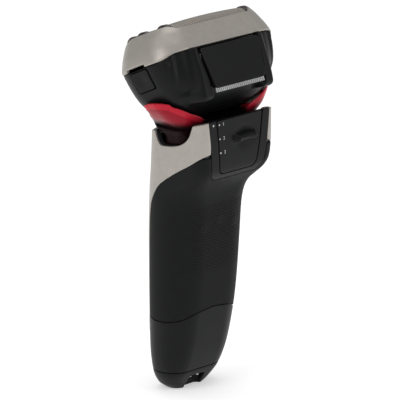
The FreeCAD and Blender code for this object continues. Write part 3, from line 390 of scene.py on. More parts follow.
def panel_plan(outline, edge, step, rim, extra):
    """A panel unrolled flat: its points, how far each is sunk at the rounded edge, and its triangles."""
    ring = resample(outline, rim)
    offsets = np.append(edge * (1 - np.cos(EDGE_ANGLES)), edge * EDGE_END)
    drops = np.append(edge * (1 - np.sin(EDGE_ANGLES)), 0)
    loops = [inward(ring, offset) if offset else ring for offset in offsets]
    low, high = ring.min(axis=0), ring.max(axis=0)
    columns, rows = np.arange(low[0], high[0], step), np.arange(low[1], high[1], step)
    grid = np.stack(np.meshgrid(columns, rows), -1).reshape(-1, 2)
    grid[:, 0] += step / 2 * (np.round((grid[:, 1] - low[1]) / step) % 2)
    if extra is not None:
        (left, right, bottom, top), finer = extra
        x, y = grid[:, 0], grid[:, 1]
        grid = np.vstack([grid[~((x > left) & (x < right) & (y > bottom) & (y < top))], finer])
    batches = [grid[k:k + BATCH] for k in range(0, len(grid), BATCH)]
    grid = np.vstack([batch[inside(batch, ring, edge * EDGE_END + GRID_MARGIN)] for batch in batches])
    count = len(ring)
    points = np.vstack(loops + [grid])
    drop = np.concatenate([np.full(count, d) for d in drops] + [np.zeros(len(grid))])
    lines = [(k * count + j, k * count + (j + 1) % count) for k in range(len(loops)) for j in range(count)]
    verts, _, faces, origins, _, _ = delaunay_2d_cdt([Vector(p) for p in points], lines, [], 1, 1e-6)
    plane = np.array([[v.x, v.y] for v in verts])
    sunk = np.array([drop[o[0]] if o else edge / 2 for o in origins])
    return plane, sunk, faces


def closed_sheet(faces, count):
    """The faces of a sheet, the same faces turned over on its back, and the wall between their borders."""
    edges = [(face[k], face[(k + 1) % 3]) for face in faces for k in range(3)]
    known = set(edges)
    border = [(a, b) for a, b in edges if (b, a) not in known]
    made = [list(face) for face in faces] + [[count + v for v in reversed(face)] for face in faces]
    return made + [[b, a, count + a, count + b] for a, b in border]


def panel(name, skin, outline, body, look, slot=None, place=WORLD, rise=0.0, depth=0.8, edge=0.25,
          step=1.1, rim=0.7, shape=None, extra=None):
    """A moulded panel lying on a skin, its outline drawn unrolled flat, with rounded edges.
    extra is a box and the finer grid that takes the place of the even one inside it."""
    plane, sunk, faces = panel_plan(outline, edge, step, rim, extra)
    t, z = plane[:, 0] / skin.unroll, plane[:, 1]
    out = rise - sunk
    if shape is not None:
        out = out + shape(skin.base(t, z), plane)
    top = skin.point(t, z, out)
    back = skin.point(t, z, np.full(len(t), rise - depth))
    made = closed_sheet(faces, len(top))
    return new_object(name, np.vstack([top, back]), made, place, body, look, slot)


def band(name, skin, low, high, body, look, place=WORLD, depth=1.0, edge=0.25, columns=220, rows=24):
    """A ring all round a skin between two edge lines, low(point) and high(point)."""
    t = np.arange(columns) / columns * 2 - 1
    z_low, z_high = low(t), high(t)
    offsets, drops = edge * (1 - np.cos(EDGE_ANGLES)), edge * (1 - np.sin(EDGE_ANGLES))
    levels = [(z_low + o, d) for o, d in zip(offsets, drops)]
    middle = np.linspace(0, 1, rows)[1:-1]
    levels += [(z_low + edge + (z_high - z_low - 2 * edge) * u, 0.0) for u in middle]
    levels += [(z_high - o, d) for o, d in zip(offsets[::-1], drops[::-1])]
    sheets = []
    for z, d in levels:
        sheets.append(skin.point(t, z, np.full(columns, -d)))
    for z in (z_high, z_high - (z_high - z_low) / 2, z_low):
        sheets.append(skin.point(t, z, np.full(columns, -depth)))
    faces = ring_faces(len(sheets), columns, closed=True)
    return new_object(name, np.vstack(sheets), faces, place, body, look)


def lathe(name, profile, centre, axis, body, look, slot=None, segments=64, hollow=False):
    """A turned piece: profile is (radius, distance along the axis) from one end to the other, or round a
    hollow ring's section."""
    verts = []
    for radius, along in profile:
        for k in range(segments):
            a = 2 * math.pi * k / segments
            u, v = radius * math.cos(a), radius * math.sin(a)
            spot = {"x": (along, u, v), "y": (u, along, v), "z": (u, v, along)}[axis]
            verts.append([centre[j] + spot[j] for j in range(3)])
    rings = len(profile)
    faces = ring_faces(rings, segments, closed=hollow)
    if not hollow:
        faces.append(list(range(segments)))
        faces.append([(rings - 1) * segments + k for k in range(segments)])
    return new_object(name, verts, faces, WORLD, body, look, slot)


# ---------------- materials

def graph(name):
    made = bpy.data.materials.new(name)
    made.use_nodes = True
    tree = made.node_tree
    shader = tree.nodes["Principled BSDF"]
    spot = tree.nodes.new("ShaderNodeTexCoord")
    return made, tree, shader, spot


def cloud(tree, spot, scale, detail=3.0, stretch=None):
    """A soft noise over the piece; stretch draws it out along an axis."""
    noise = tree.nodes.new("ShaderNodeTexNoise")
    noise.inputs["Scale"].default_value = scale
    noise.inputs["Detail"].default_value = detail
    feed = spot.outputs["Object"]
    if stretch:
        pull = tree.nodes.new("ShaderNodeMapping")
        pull.inputs["Scale"].default_value = stretch
        tree.links.new(feed, pull.inputs["Vector"])
        feed = pull.outputs["Vector"]
    tree.links.new(feed, noise.inputs["Vector"])
    return noise.outputs["Fac"]


def ramp(tree, factor, stops):
    """Colours along a factor: the first two stops are the ends of the ramp."""
    node = tree.nodes.new("ShaderNodeValToRGB")
    for stop, (position, colour) in zip(node.color_ramp.elements, stops[:2]):
        stop.position = position
        stop.color = (*colour, 1)
    for position, colour in stops[2:]:
        node.color_ramp.elements.new(position).color = (*colour, 1)
    tree.links.new(factor, node.inputs["Fac"])
    return node.outputs["Color"]


def spread(tree, factor, low, high, start=0.3, end=0.7):
    node = tree.nodes.new("ShaderNodeMapRange")
    for key, value in (("From Min", start), ("From Max", end), ("To Min", low), ("To Max", high)):
        node.inputs[key].default_value = value
    tree.links.new(factor, node.inputs["Value"])
    return node.outputs["Result"]


def reckon(tree, operation, *feeds):
    """A math node fed by other nodes or plain numbers."""
    node = tree.nodes.new("ShaderNodeMath")
    node.operation = operation
    for place, feed in zip(node.inputs, feeds):
        if isinstance(feed, float):
            place.default_value = feed
        else:
            tree.links.new(feed, place)
    return node.outputs["Value"]


def bump(tree, shader, height, depth):
    node = tree.nodes.new("ShaderNodeBump")
    node.inputs["Distance"].default_value = depth * MM
    node.inputs["Strength"].default_value = 1.0
    tree.links.new(height, node.inputs["Height"])
    tree.links.new(node.outputs["Normal"], shader.inputs["Normal"])


def finish(name, colour, rough, metal=0.0, gloss=0.5, coat=0.0, mottle=0.08, patch=250, grain=4000,
           depth=0.004, stretch=None):
    """A surface whose shade, roughness and relief all vary a little over the piece."""
    made, tree, shader, spot = graph(name)
    shader.inputs["Metallic"].default_value = metal
    shader.inputs["Specular IOR Level"].default_value = gloss
    shader.inputs["Coat Weight"].default_value = coat
    shader.inputs["Coat Roughness"].default_value = 0.08
    dark = tuple(c * (1 - mottle) for c in colour)
    light = tuple(min(1, c * (1 + mottle)) for c in colour)
    shade = ramp(tree, cloud(tree, spot, patch), [(0.3, dark), (0.7, light)])
    tree.links.new(shade, shader.inputs["Base Color"])
    fine = cloud(tree, spot, grain, 4.0, stretch)
    tree.links.new(spread(tree, fine, rough * 0.88, rough * 1.12), shader.inputs["Roughness"])
    bump(tree, shader, fine, depth)
    return made


def crimson_lacquer():
    """Clear red over black: deep red at the arms, running out to black below, with a painted highlight as a
    lighter band along the arms' lip.
    """
    made, tree, shader, spot = graph("crimson")
    height = tree.nodes.new("ShaderNodeAttribute")
    height.attribute_name = "redness"
    gloss = spread(tree, height.outputs["Fac"], 0.0, 0.14, 0.1, 0.9)
    tree.links.new(gloss, shader.inputs["Specular IOR Level"])
    # Higher values give lighter red: the top of this ramp is the painted highlight along the arms' lip.
    tree.links.new(ramp(tree, height.outputs["Fac"], [
        (0.0, (0.003, 0.0025, 0.003)), (1.0, (0.44, 0.012, 0.028)), (0.25, (0.016, 0.0025, 0.0035)),
        (0.55, (0.15, 0.005, 0.012)), (0.78, (0.3, 0.008, 0.02))]), shader.inputs["Base Color"])
    fine = cloud(tree, spot, 1500, 3.0)
    tree.links.new(spread(tree, fine, 0.22, 0.3), shader.inputs["Roughness"])
    bump(tree, shader, fine, 0.001)
    return made


HOLE_PITCH = 0.95


def perforated_foil():
    """Thin steel pierced by staggered rows of holes, drawn from the sheet's own unrolled lengths."""
    made, tree, shader, spot = graph("foil_steel")
    shader.inputs["Metallic"].default_value = 0.85
    split = tree.nodes.new("ShaderNodeSeparateXYZ")
    tree.links.new(spot.outputs["UV"], split.inputs["Vector"])
    across, along = [
        reckon(tree, "COSINE", reckon(tree, "MULTIPLY", split.outputs[axis], 2 * math.pi / pitch))
        for axis, pitch in (("X", HOLE_PITCH), ("Y", HOLE_PITCH * math.sqrt(3)))]
    holes = spread(tree, reckon(tree, "MULTIPLY", across, along), 0.0, 1.0, 0.1, 0.55)
    tree.links.new(ramp(tree, holes, [(0.0, (0.46, 0.42, 0.37)), (1.0, (0.016, 0.014, 0.012))]),
                   shader.inputs["Base Color"])
    fine = cloud(tree, spot, 3000, 3.0)
    tree.links.new(spread(tree, fine, 0.3, 0.42), shader.inputs["Roughness"])
    bump(tree, shader, reckon(tree, "SUBTRACT", fine, holes), 0.05)
    return made


MATERIALS = {
    "silver": finish("silver", (0.36, 0.333, 0.303), 0.44, metal=0.6, coat=0.15, mottle=0.04,
                     patch=400, grain=9000, depth=0.0015),
    "grip_rubber": finish("grip_rubber", (0.0045, 0.0048, 0.005), 0.62, gloss=0.14, grain=7000, depth=0.01),
    "black_satin": finish("black_satin", (0.0035, 0.0038, 0.004), 0.42, gloss=0.15, grain=6000),
    "black_gloss": finish("black_gloss", (0.004, 0.004, 0.0045), 0.12, gloss=0.42, coat=0.3, grain=3000,
                          depth=0.001),
    "neck_gloss": finish("neck_gloss", (0.009, 0.0022, 0.0028), 0.3, gloss=0.05, grain=3000, depth=0.001),
    "inner_plastic": finish("inner_plastic", (0.022, 0.024, 0.027), 0.5, gloss=0.3),
    "steel": finish("steel", (0.56, 0.56, 0.56), 0.3, metal=1, stretch=(1, 8, 8), grain=1500),
    "spring_steel": finish("spring_steel", (0.45, 0.45, 0.47), 0.28, metal=1),
    "magnet": finish("magnet", (0.55, 0.55, 0.57), 0.18, metal=1),
    "iron": finish("iron", (0.16, 0.16, 0.17), 0.5, metal=0.8, stretch=(12, 1, 1), grain=2500, depth=0.02),
    "copper": finish("copper", (0.62, 0.25, 0.11), 0.3, metal=1, stretch=(1, 1, 10), grain=2500,
                     depth=0.03),
    "board_green": finish("board_green", (0.012, 0.13, 0.05), 0.35, grain=1800, depth=0.01),
    "chip_black": finish("chip_black", (0.02, 0.02, 0.022), 0.5),
    "cell_wrap": finish("cell_wrap", (0.05, 0.17, 0.36), 0.3, coat=0.4),
    "nickel": finish("nickel", (0.58, 0.56, 0.5), 0.32, metal=1),
    "window": finish("window", (0.006, 0.0065, 0.007), 0.08, gloss=0.6, coat=0.6, depth=0.0005),
    "seal_rubber": finish("seal_rubber", (0.38, 0.08, 0.03), 0.7, gloss=0.2),
    "chrome": finish("chrome", (0.62, 0.62, 0.63), 0.12, metal=1, depth=0.001),
    "crimson": crimson_lacquer(),
    "foil_steel": perforated_foil(),
    "cap_black": finish("cap_black", (0.016, 0.007, 0.008), 0.3, gloss=0.35, coat=0.2, depth=0.002),
    "marking": finish("marking", (0.5, 0.5, 0.5), 0.5, gloss=0.3, grain=8000, depth=0.002),
}

# The CAD nodes that stay visible take the finish of their own slot.
for node in nodes.values():
    for place in node.material_slots:
        base = place.material.name.split(".")[0] if place.material else "inner_plastic"
        place.material = MATERIALS.get(base, MATERIALS["inner_plastic"])


# ---------------- handle

GAP, GAP_Z = 0.28, 0.3
GAP_T = GAP / HANDLE.unroll
HANDLE_WALL = 0.9
SEAM_MIDDLE, SURROUND_LOW = 35.0, 97.6


def rim_level(y):
    return 115.06 + 0.273 * y


def saddle_level(y):
    """The round bay in each side's top edge, where the neck swings."""
    low = curve([2.40, 3.2, 5.0, 7.6, 12, 17.2, 21.5, 23.6, 25.68],
                [115.72, 114.2, 111.6, 110.15, 110.6, 111.9, 114.4, 116.9, 122.07], y)
    return np.where((np.asarray(y) < 2.4) | (np.asarray(y) > 25.68), 999, low)


def seam_level(x):
    return curve([0, 9, 17, 40], [38, 36.8, 33.5, 28.6], np.abs(x))


def switch_half(z):
    """Half the width of the switch surround."""
    return 14.6 + 3.7 * (z - SURROUND_LOW) / 30.4


def side_front(z):
    return HANDLE.at_side(curve([20, 30, 60, 90, 118], [-5.6, -5.9, -5.7, -5.1, -3.6], z), z)


def side_rear(z):
    """The silver's rear edge: up the side, then back to the switch surround."""
    edge = curve([20, 30, 52, 76.6, 83.2, 88.2, 92.6, 95.8, 100.6, 104.8, 109.8],
                 [-4.4, -4.0, -3.1, -1.9, -0.6, 2.2, 5.6, 9.6, 17, 24.2, 31.6], z)
    return np.minimum(HANDLE.at_side(np.minimum(edge, 31.6), z), HANDLE.at_rear(switch_half(z), z))


def side_top(t):
    level = np.full(np.shape(t), 118.0)
    for _ in range(3):
        y = HANDLE.base(t, level)[..., 1]
        level = np.minimum(rim_level(y) - GAP_Z, saddle_level(y))
    return level


def flat(t, z):
    return list(zip(np.atleast_1d(t) * HANDLE.unroll, np.atleast_1d(z) + 0 * np.atleast_1d(t)))


def on_front(outline):
    return [(float(HANDLE.at_front(x, z)) * HANDLE.unroll, z) for x, z in outline]


def on_rear(outline):
    return [(float(HANDLE.at_rear(x, z)) * HANDLE.unroll, z) for x, z in outline]


def on_seam(t):
    """Just above the seam between the lower cover and what stands on it."""
    return float(seam_level(HANDLE.base(t, SEAM_MIDDLE)[0])) + 0.2


TAIL, FRONT_TOP, REAR_TOP = 26.0, 113.8, 123.35


def silver_outline():
    climb = np.linspace(TAIL, FRONT_TOP, 90)
    across = np.linspace(float(side_front(FRONT_TOP)), float(side_rear(REAR_TOP)), 120)
    fall = np.linspace(REAR_TOP, TAIL, 110)
    return (flat(side_front(climb[:-1]), climb[:-1]) + flat(across, side_top(across))
            + flat(side_rear(fall[1:]), fall[1:]))


def silver_shape(points, plane):
    """The narrow tail lies on the lower cover, so it stands a little proud of it."""
    return 0.12 * (1 - smooth(30, 36, plane[:, 1]))


def make_side_panels():
    outline = silver_outline()
    for side, sign in SIDES:
        line = [(sign * p, z) for p, z in outline]
        made = panel(f"side_panel_{side}.look", HANDLE, line, "handle", "silver", depth=HANDLE_WALL, edge=0.3,
                     step=1.3, shape=silver_shape)
        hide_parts(f"side_panel_{side}")


# Rear grip: the rubber back between the silver sides, with a ribbed thumb field and three round marks.
HORN = 108.2
SURROUND_CORNER = (11.09, 101.6, 4)
RIB_PITCH, RIB_LOW, RIB_HIGH, RIB_DEPTH = 1.15, 54.0, 86.0, 0.11
RIB_HALF, RIB_FADE = 14.0, 2.5
MARKS = on_rear([(-9, 74.2), (0, 76.5), (9, 74.2)])


def seam_meeting():
    """Where round the handle the silver's rear edge crosses the seam."""
    z = 33.0
    for _ in range(6):
        t = float(side_rear(z))
        z = float(seam_level(HANDLE.base(t, z)[0]))
    return t


def grip_outline():
    meeting = seam_meeting()
    bottom = [(t, on_seam(t)) for t in np.linspace(meeting, 2 - meeting, 90)]
    bottom[0] = (bottom[0][0] + GAP_T, bottom[0][1])
    bottom[-1] = (bottom[-1][0] - GAP_T, bottom[-1][1])
    up = np.linspace(bottom[-1][1] + 0.5, HORN, 90)
    inner_up = np.linspace(HORN, 102.2, 10)
    inner_down = inner_up[::-1]
    x, z, radius = SURROUND_CORNER
    turn = np.radians(np.linspace(0, -90, 9))
    corner = [(x + radius * math.cos(a), z + radius * math.sin(a) - GAP_Z) for a in turn]
    line = [(t * HANDLE.unroll, level) for t, level in bottom]
    line += flat(2 - side_rear(up) - GAP_T, up)
    line += flat(HANDLE.at_rear(-switch_half(inner_up), inner_up) + GAP_T, inner_up)
    line += on_rear([(-x, z) for x, z in corner]) + on_rear(corner[::-1])
    line += flat(HANDLE.at_rear(switch_half(inner_down), inner_down) - GAP_T, inner_down)
    return line + flat(side_rear(up[::-1]) + GAP_T, up[::-1])


def grip_shape(points, plane):
    """Level ribs that fade out at the field's edges, and the marks as shallow rings."""
    p, z = plane[:, 0], plane[:, 1]
    field = smooth(RIB_HALF + RIB_FADE, RIB_HALF, np.abs(p - HANDLE.unroll))
    field = field * smooth(RIB_LOW, RIB_LOW + RIB_FADE, z) * smooth(RIB_HIGH, RIB_HIGH - RIB_FADE, z)
    ribs = RIB_DEPTH * (np.cos(z * 2 * math.pi / RIB_PITCH) - 1)
    rings = 0.0
    for across_back, level in MARKS:
        away = np.hypot(p - across_back, z - level)
        rings = rings + 0.132 * smooth(1.9, 1.3, away) - 0.12 * smooth(1.2, 0.7, away)
        ribs = ribs * smooth(1.6, 2.4, away)
    return field * ribs + rings


def make_grip():
    columns = np.arange(-17.0, 17.01, 0.8) + HANDLE.unroll
    rows = np.arange(RIB_LOW, RIB_HIGH, RIB_PITCH / 6)
    box = (HANDLE.unroll - 17.6, HANDLE.unroll + 17.6, RIB_LOW - 1, RIB_HIGH + 1)
    finer = np.array([(p, z) for z in rows for p in columns])
    grip = panel("grip_rear.look", HANDLE, grip_outline(), "handle", "grip_rubber", depth=HANDLE_WALL,
                 step=1.3, shape=grip_shape, extra=(box, finer))
    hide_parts("grip_skin")


def make_bezel():
    """One black bezel up the whole front, part of the grip's moulding."""
    low = np.linspace(-1, 1, 60) * (float(side_front(34.0)) - GAP_T)
    top = np.linspace(1, -1, 50) * (float(side_front(113.6)) - GAP_T)
    line = [(t * HANDLE.unroll, on_seam(t)) for t in low]
    up = np.linspace(line[-1][1] + 0.8, 112.5, 80)
    line += flat(side_front(up) - GAP_T, up)
    line += [(t * HANDLE.unroll, float(rim_level(HANDLE.base(t, 113.5)[1])) - GAP_Z) for t in top]
    line += flat(-side_front(up[::-1]) + GAP_T, up[::-1])
    panel("grip_front.look", HANDLE, line, "handle", "black_satin", "grip_rubber", depth=HANDLE_WALL,
          step=1.5)


FOOT_TOP = 8.95


def make_lower_cover():
    cover = band("lower_cover.look", HANDLE, lambda t: np.full(len(t), FOOT_TOP + 0.15),
                 lambda t: seam_level(HANDLE.base(t, 34.0)[:, 0]) - 0.1, "handle", "black_satin",
                 depth=1.1, rows=30)
    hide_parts("lower_cover")


def make_foot():
    """A rounded plug with the charging inlet cut up into it near its rear edge."""
    foot = loft_solid("bottom_cap.look", HANDLE, 0.0, FOOT_TOP, rows=26)
    opening = fillet([(-4.6, 1.7), (4.6, 1.7), (4.6, 7.1), (-4.6, 7.1)], [1.6] * 4)
    carve(foot, prism("inlet", opening, "z", -3, 8))
    soften(foot, 0.3, 2)
    finish_piece(foot, WORLD, "handle", "black_satin", bend_limit=60)
    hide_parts("bottom_cap")


def make_fascia():
    """The glossy front with rounded ends, and the charge window low in it."""
    line = fillet([(-9.6, 14), (9.6, 14), (12.6, 109), (-12.6, 109)], [8] * 4, 12)
    fascia = panel("front_fascia.look", HANDLE, on_front(line), "handle", "black_gloss", rise=0.3, depth=0.5,
                   edge=0.28, step=1.5)
    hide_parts("front_fascia")
    line = fillet([(-2.2, 26), (2.2, 26), (2.2, 40), (-2.2, 40)], [2.1] * 4)
    window = panel("charge_window.look", HANDLE, on_front(line), "handle", "window", rise=0.42, depth=0.3,
                   edge=0.1, step=0.8)
    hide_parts("charge_window")


BUTTON_Z = 68.0


def make_button():
    section = [(6.0, -8.6), (6.85, -8.6), (6.9, -9.2), (6.78, -9.42), (6.5, -9.5), (6.25, -9.46),
               (6.1, -9.3), (5.9, -9.0), (5.86, -8.7)]
    ring = lathe("power_ring.look", section, (0, 0, BUTTON_Z), "y", "handle", "chrome", segments=96,
                 hollow=True)
    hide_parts("power_ring")
    dish = [(r, -9.62 - 0.2 * (r / 4.6) ** 2) for r in np.linspace(0.05, 4.6, 12)]
    side = [(4.95, -9.86), (5.25, -9.8), (5.42, -9.6), (5.5, -9.3), (5.5, -8.9), (0.05, -8.9)]
    button = lathe("power_button.look", dish + side, (0, 0, BUTTON_Z), "y", "button", "black_satin",
                   "black_gloss", 96)
    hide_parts("power_button")


# ---------------- switch

SWITCH_TOP = 123.38
SLIDE_TOP = 123.35
FACE_Y = 31.6
RIDGE_X, RIDGE_Z = -3.2, 114.0
DISH_DEPTH, RIDGE_RISE = 1.15, 2.9


def make_surround():
    """A U of black satin round the slide."""
    half = switch_half(SWITCH_TOP)
    line = fillet([(half, SWITCH_TOP), (14.6, SURROUND_LOW), (-14.6, SURROUND_LOW), (-half, SWITCH_TOP),
                   (-13.62, SWITCH_TOP), (-10.6, 99.7), (10.6, 99.7), (13.62, SWITCH_TOP)],
                  [0.5, 4, 4, 0.5, 0.3, 3, 3, 0.3])
    surround = panel("switch_frame.look", HANDLE, on_rear(line), "handle", "black_satin", depth=HANDLE_WALL,
                     edge=0.22, step=0.9, rim=0.5)
    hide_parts("switch_frame")


def slide_shape(points, plane):
    """A shallow dish with a thumb bar across its middle."""
    x, z = points[:, 0] - RIDGE_X, points[:, 2] - RIDGE_Z
    away = np.clip(np.hypot(x / 8.4, z / 6.4), 0, 1)
    dish = -DISH_DEPTH * (1 - away ** 2) ** 2
    end = smooth(6.4, 4.6, np.abs(x))
    bar = np.clip(1 - (z / 1.9) ** 2, 0, 1) ** 0.8
    return dish + RIDGE_RISE * bar * end


def make_slide():
    line = fillet([(-10.3, 100), (10.3, 100), (13.05, SLIDE_TOP), (-13.05, SLIDE_TOP)], [3, 3, 0.8, 0.8])
    columns, rows = np.arange(-9.4, 9.41, 0.42), np.arange(-7.2, 7.21, 0.28)
    middle = HANDLE.unroll - RIDGE_X * 0.85
    finer = np.array([(middle + p, RIDGE_Z + z) for z in rows for p in columns])
    box = (middle - 9.8, middle + 9.8, RIDGE_Z - 7.5, RIDGE_Z + 7.5)
    slide = panel("switch_slide.look", HANDLE, on_rear(line), "switch", "black_satin", depth=1.4, edge=0.3,
                  step=0.9, rim=0.5, shape=slide_shape, extra=(box, finer))
    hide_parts("switch_slide")


def spot_mark(name, x, z, radius, body):
    y = FACE_Y
    profile = [(0.02, y - 0.1), (radius, y - 0.1), (radius, y + 0.03), (radius - 0.08, y + 0.06),
               (0.02, y + 0.07)]
    lathe(name, profile, (x, 0, z), "y", body, "marking", "", 24)


def numeral(name, text, x, z, size, body):
    letters = bpy.data.curves.new(name, "FONT")
    letters.body = text
    letters.size = size
    letters.extrude = 0.04
    letters.align_x, letters.align_y = "CENTER", "CENTER"
    holder = link(name + ".text", letters)
    mesh = bpy.data.meshes.new_from_object(holder.evaluated_get(bpy.context.evaluated_depsgraph_get()))
    bpy.data.objects.remove(holder)
    mesh.transform(Matrix(((-1, 0, 0, x), (0, 0, 1, FACE_Y), (0, 1, 0, z), (0, 0, 0, 1))))
    finish_piece(link(name, mesh), WORLD, body, "marking", "", 30)


def make_switch_marks():
    """A dot on the surround, and a dot and a numeral on the slide for each of its three places."""
    spot_mark("switch_mark", 15.3, 121.9, 0.42, "handle")
    for number, (x, z) in enumerate(((11.9, 121.6), (11.5, 115.6), (11.0, 109.6)), 1):
        spot_mark(f"switch_spot_{number}", x, z, 0.36, "switch")
        numeral(f"switch_number_{number}", str(number), x - 2.4, z, 2.0, "switch")


# ---------------- yoke

# The crimson's edge seen from behind, (x, z), and from the end, (y, z).
RIM = through([(-31, 136), (-28.8, 131.4), (-27.5, 130.3), (-21.2, 127.1), (-15, 124.4), (-11, 122.4),
               (0, 121.6), (11, 122.4), (15, 124.4), (21.2, 127.1), (27.5, 130.3), (28.8, 131.4), (31, 136)])
ARM = through([(-8, 118), (-2, 123.4), (2, 126.2), (6.5, 128.6), (10, 130.2), (13.2, 131.0), (16.7, 131.4),
               (20, 131.2), (23, 130.2), (28, 127)])
SPLIT = [(-40, 84), (60, 84), (60, 120.4), (-40, 114.8)]
FINE = 0.34


def in_head_frame(thing):
    thing.data.transform(TO_HEAD)
    return thing


def redness(spots):
    """1 on the lip of the arms and less below it, fading to 0 at the neck and between the arms. The fade to
    black is the part's red-to-black colour; the lighter band along the lip is a painted highlight.
    """
    side = RIM[RIM[:, 0] >= 0]
    x, y, z = np.abs(spots[:, 0]), spots[:, 1], spots[:, 2]
    lip = np.minimum(curve(ARM[:, 0], ARM[:, 1], y), curve(side[:, 0], side[:, 1], x))
    red = smooth(118.2, 124.0, z) * smooth(10.5, 14.5, x)
    # The rise from 0.72 to 1 within about 2.5 mm under the lip is a painted highlight.
    return red * (0.72 + 0.28 * smooth(2.9, 2.3, lip - z))


def make_yoke():
    """The bowl that the head rocks in, cut to its arms and split into the cradle and the neck."""
    yoke = loft_solid("yoke", YOKE, 108, 133, 0.0, 70, 200)
    hull_room = in_head_frame(loft_solid("hull_room", HULL, -13, 13, -1.2))
    hull_room_floor = in_head_frame(loft_solid("hull_room_floor", HULL, -13, -12.6, -0.9, 3))
    below = Matrix.Rotation(HEAD_TILT, 3, "X") @ Vector((0, 0, -1.2))
    hull_room_floor.data.transform(Matrix.Translation(below))
    rim_tool = prism("rim_tool", [(-31, 140)] + [tuple(p) for p in RIM] + [(31, 140)], "y", -40, 60)
    over_arms = [(-30, 110)] + [tuple(p) for p in ARM] + [(60, 119), (60, 180), (-30, 180)]
    arm_tool = prism("arm_tool", over_arms, "x", -45, 45)
    carve(yoke, hull_room, hull_room_floor, rim_tool, arm_tool)
    soften(yoke, FINE, 3)
    neck = rough_object("yoke_neck.look", [], [])
    neck.data = yoke.data.copy()
    carve(neck, prism("split_low", SPLIT, "x", -45, 45), operation="INTERSECT")
    carve(yoke, prism("split_high", SPLIT, "x", -45, 45))
    yoke.name = "yoke_cradle.look"
    for piece in (yoke, neck):
        layer = piece.data.attributes.new("redness", "FLOAT", "POINT")
        layer.data.foreach_set("value", redness(np.array([v.co[:] for v in piece.data.vertices])))
    finish_piece(yoke, WORLD, "yoke", "crimson", bend_limit=50)
    finish_piece(neck, WORLD, "yoke", "neck_gloss", "black_gloss", 50)
    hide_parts("yoke_cradle")
    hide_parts("yoke_neck")


# ---------------- head

HULL_TOP = 13.2
SCOOP_X = 24.3
PLATE_FACE = 20.0
ROOM_Y = 17.3
FRAME_LOW, FRAME_HIGH = 13.4, 23.1
END_DROP, END_RISE = 1.6, 2.0
KEY_MIDDLE = -1.9


def hull_shape(points):
    """Thumb scoops down the rear, dimples at the corners, and ridges that stand flush with the
    trimmer's plate on both sides of it."""
    x, y, z = np.abs(points[..., 0]), points[..., 1], points[..., 2]
    away = np.hypot((x - SCOOP_X) / 4.7, np.minimum(z + 0.2, 0) / 5.0)
    scoop = -1.25 * smooth(1.06, 0.62, away) * smooth(4, 9, y)
    dimple = -0.5 * smooth(0.95, 0.3, np.hypot(x - 30.2, z - 9.6)) * smooth(2, 6, y)
    proud = 0.85 * np.maximum(PLATE_FACE - curve(HULL.rows[:, 0], HULL.rows[:, 3], z), 0)
    ridge = proud * smooth(23.2, 18.6, x) * smooth(12.5, 15.5, x) * smooth(-8.8, -5.0, z) * smooth(4, 9, y)
    return scoop + dimple + ridge


def make_hull():
    hull = loft_solid("head_base.look", HULL, -13, HULL_TOP, 0.0, 90, 300, hull_shape)
    ends = [prism("hull_end", [(sign * 27.0, 13.5), (sign * 30.0, 12.4), (sign * 32.5, 11.55),
                               (sign * 40, 11.5), (sign * 40, 20), (sign * 27, 20)], "y", -40, 40)
            for sign in (-1, 1)]
    cavity = loft_solid("cavity", HULL, -11.4, 13.4, 1.9)
    room = fillet([(-17.6, 14), (-14.7, -12), (14.7, -12), (17.6, 14)], [0.3, 2, 2, 0.3])
    trimmer_room = prism("trimmer_room", room, "y", ROOM_Y, 40)
    windows = [prism("key_window", [(sign * 28, -6.3), (sign * 40, -6.3), (sign * 40, 4.3), (sign * 28, 4.3)],
                     "z", 2.1, 11.1) for sign in (-1, 1)]
    top_room = prism("top_room", [(-17.6, 10.6), (17.6, 10.6), (17.6, 20), (-17.6, 20)], "y", 16.2, 40)
    carve(hull, cavity, trimmer_room, top_room, *windows, *ends)
    soften(hull, FINE, 3)
    finish_piece(hull, HEAD, "head", "black_satin", bend_limit=55)
    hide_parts("head_base")


def frame_low(t):
    """Level along the sides, dropping round the corners to the ends, with a notch over each release key."""
    p = FRAME.base(t, FRAME_LOW)
    drop = END_DROP * smooth(27.0, 32.5, np.abs(p[:, 0]))
    notch = smooth(5.9, 5.3, np.abs(p[:, 1] - KEY_MIDDLE)) * (np.abs(p[:, 0]) > 30)
    return FRAME_LOW - drop + 1.2 * notch


def frame_high(t):
    """The rim steps up round the corners, so that the ends stand as high as the foils."""
    p = FRAME.base(t, 24.0)
    return FRAME_HIGH + END_RISE * smooth(19.5, 25.0, np.abs(p[:, 0])) * smooth(-13.5, -4.0, p[:, 1])


def make_frame():
    piece = band("foil_frame.look", FRAME, frame_low, frame_high, "cassette", "silver", place=HEAD, depth=1.1,
                 edge=0.4, columns=480, rows=30)
    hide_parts("foil_frame")


FOIL_R, FOIL_BOW, CREST, SKIRT, SHEET = 4.4, 330.0, 26.4, 5.0, 0.25
FOILS = (("front", -9.4, 20.9), ("center", 0.0, 23.8), ("rear", 9.4, 20.9))
FOIL_FOOT = CREST - FOIL_R - SKIRT
CAP_LOW, CAP_START, CAP_END, CAP_EASE = 0.25, 0.3, 3.4, 0.8


def arch(radius, centre_z, low, middle, count):
    """Points (y, z, length along the sheet) of two legs under a half circle."""
    legs = np.linspace(low, centre_z, 5)[:-1]
    line = [(middle - radius, z, z - centre_z) for z in legs]
    line += [(middle - radius * math.cos(a), centre_z + radius * math.sin(a), radius * a)
             for a in np.linspace(0, math.pi, count)]
    line += [(middle + radius, z, math.pi * radius + centre_z - z) for z in legs[::-1]]
    return line


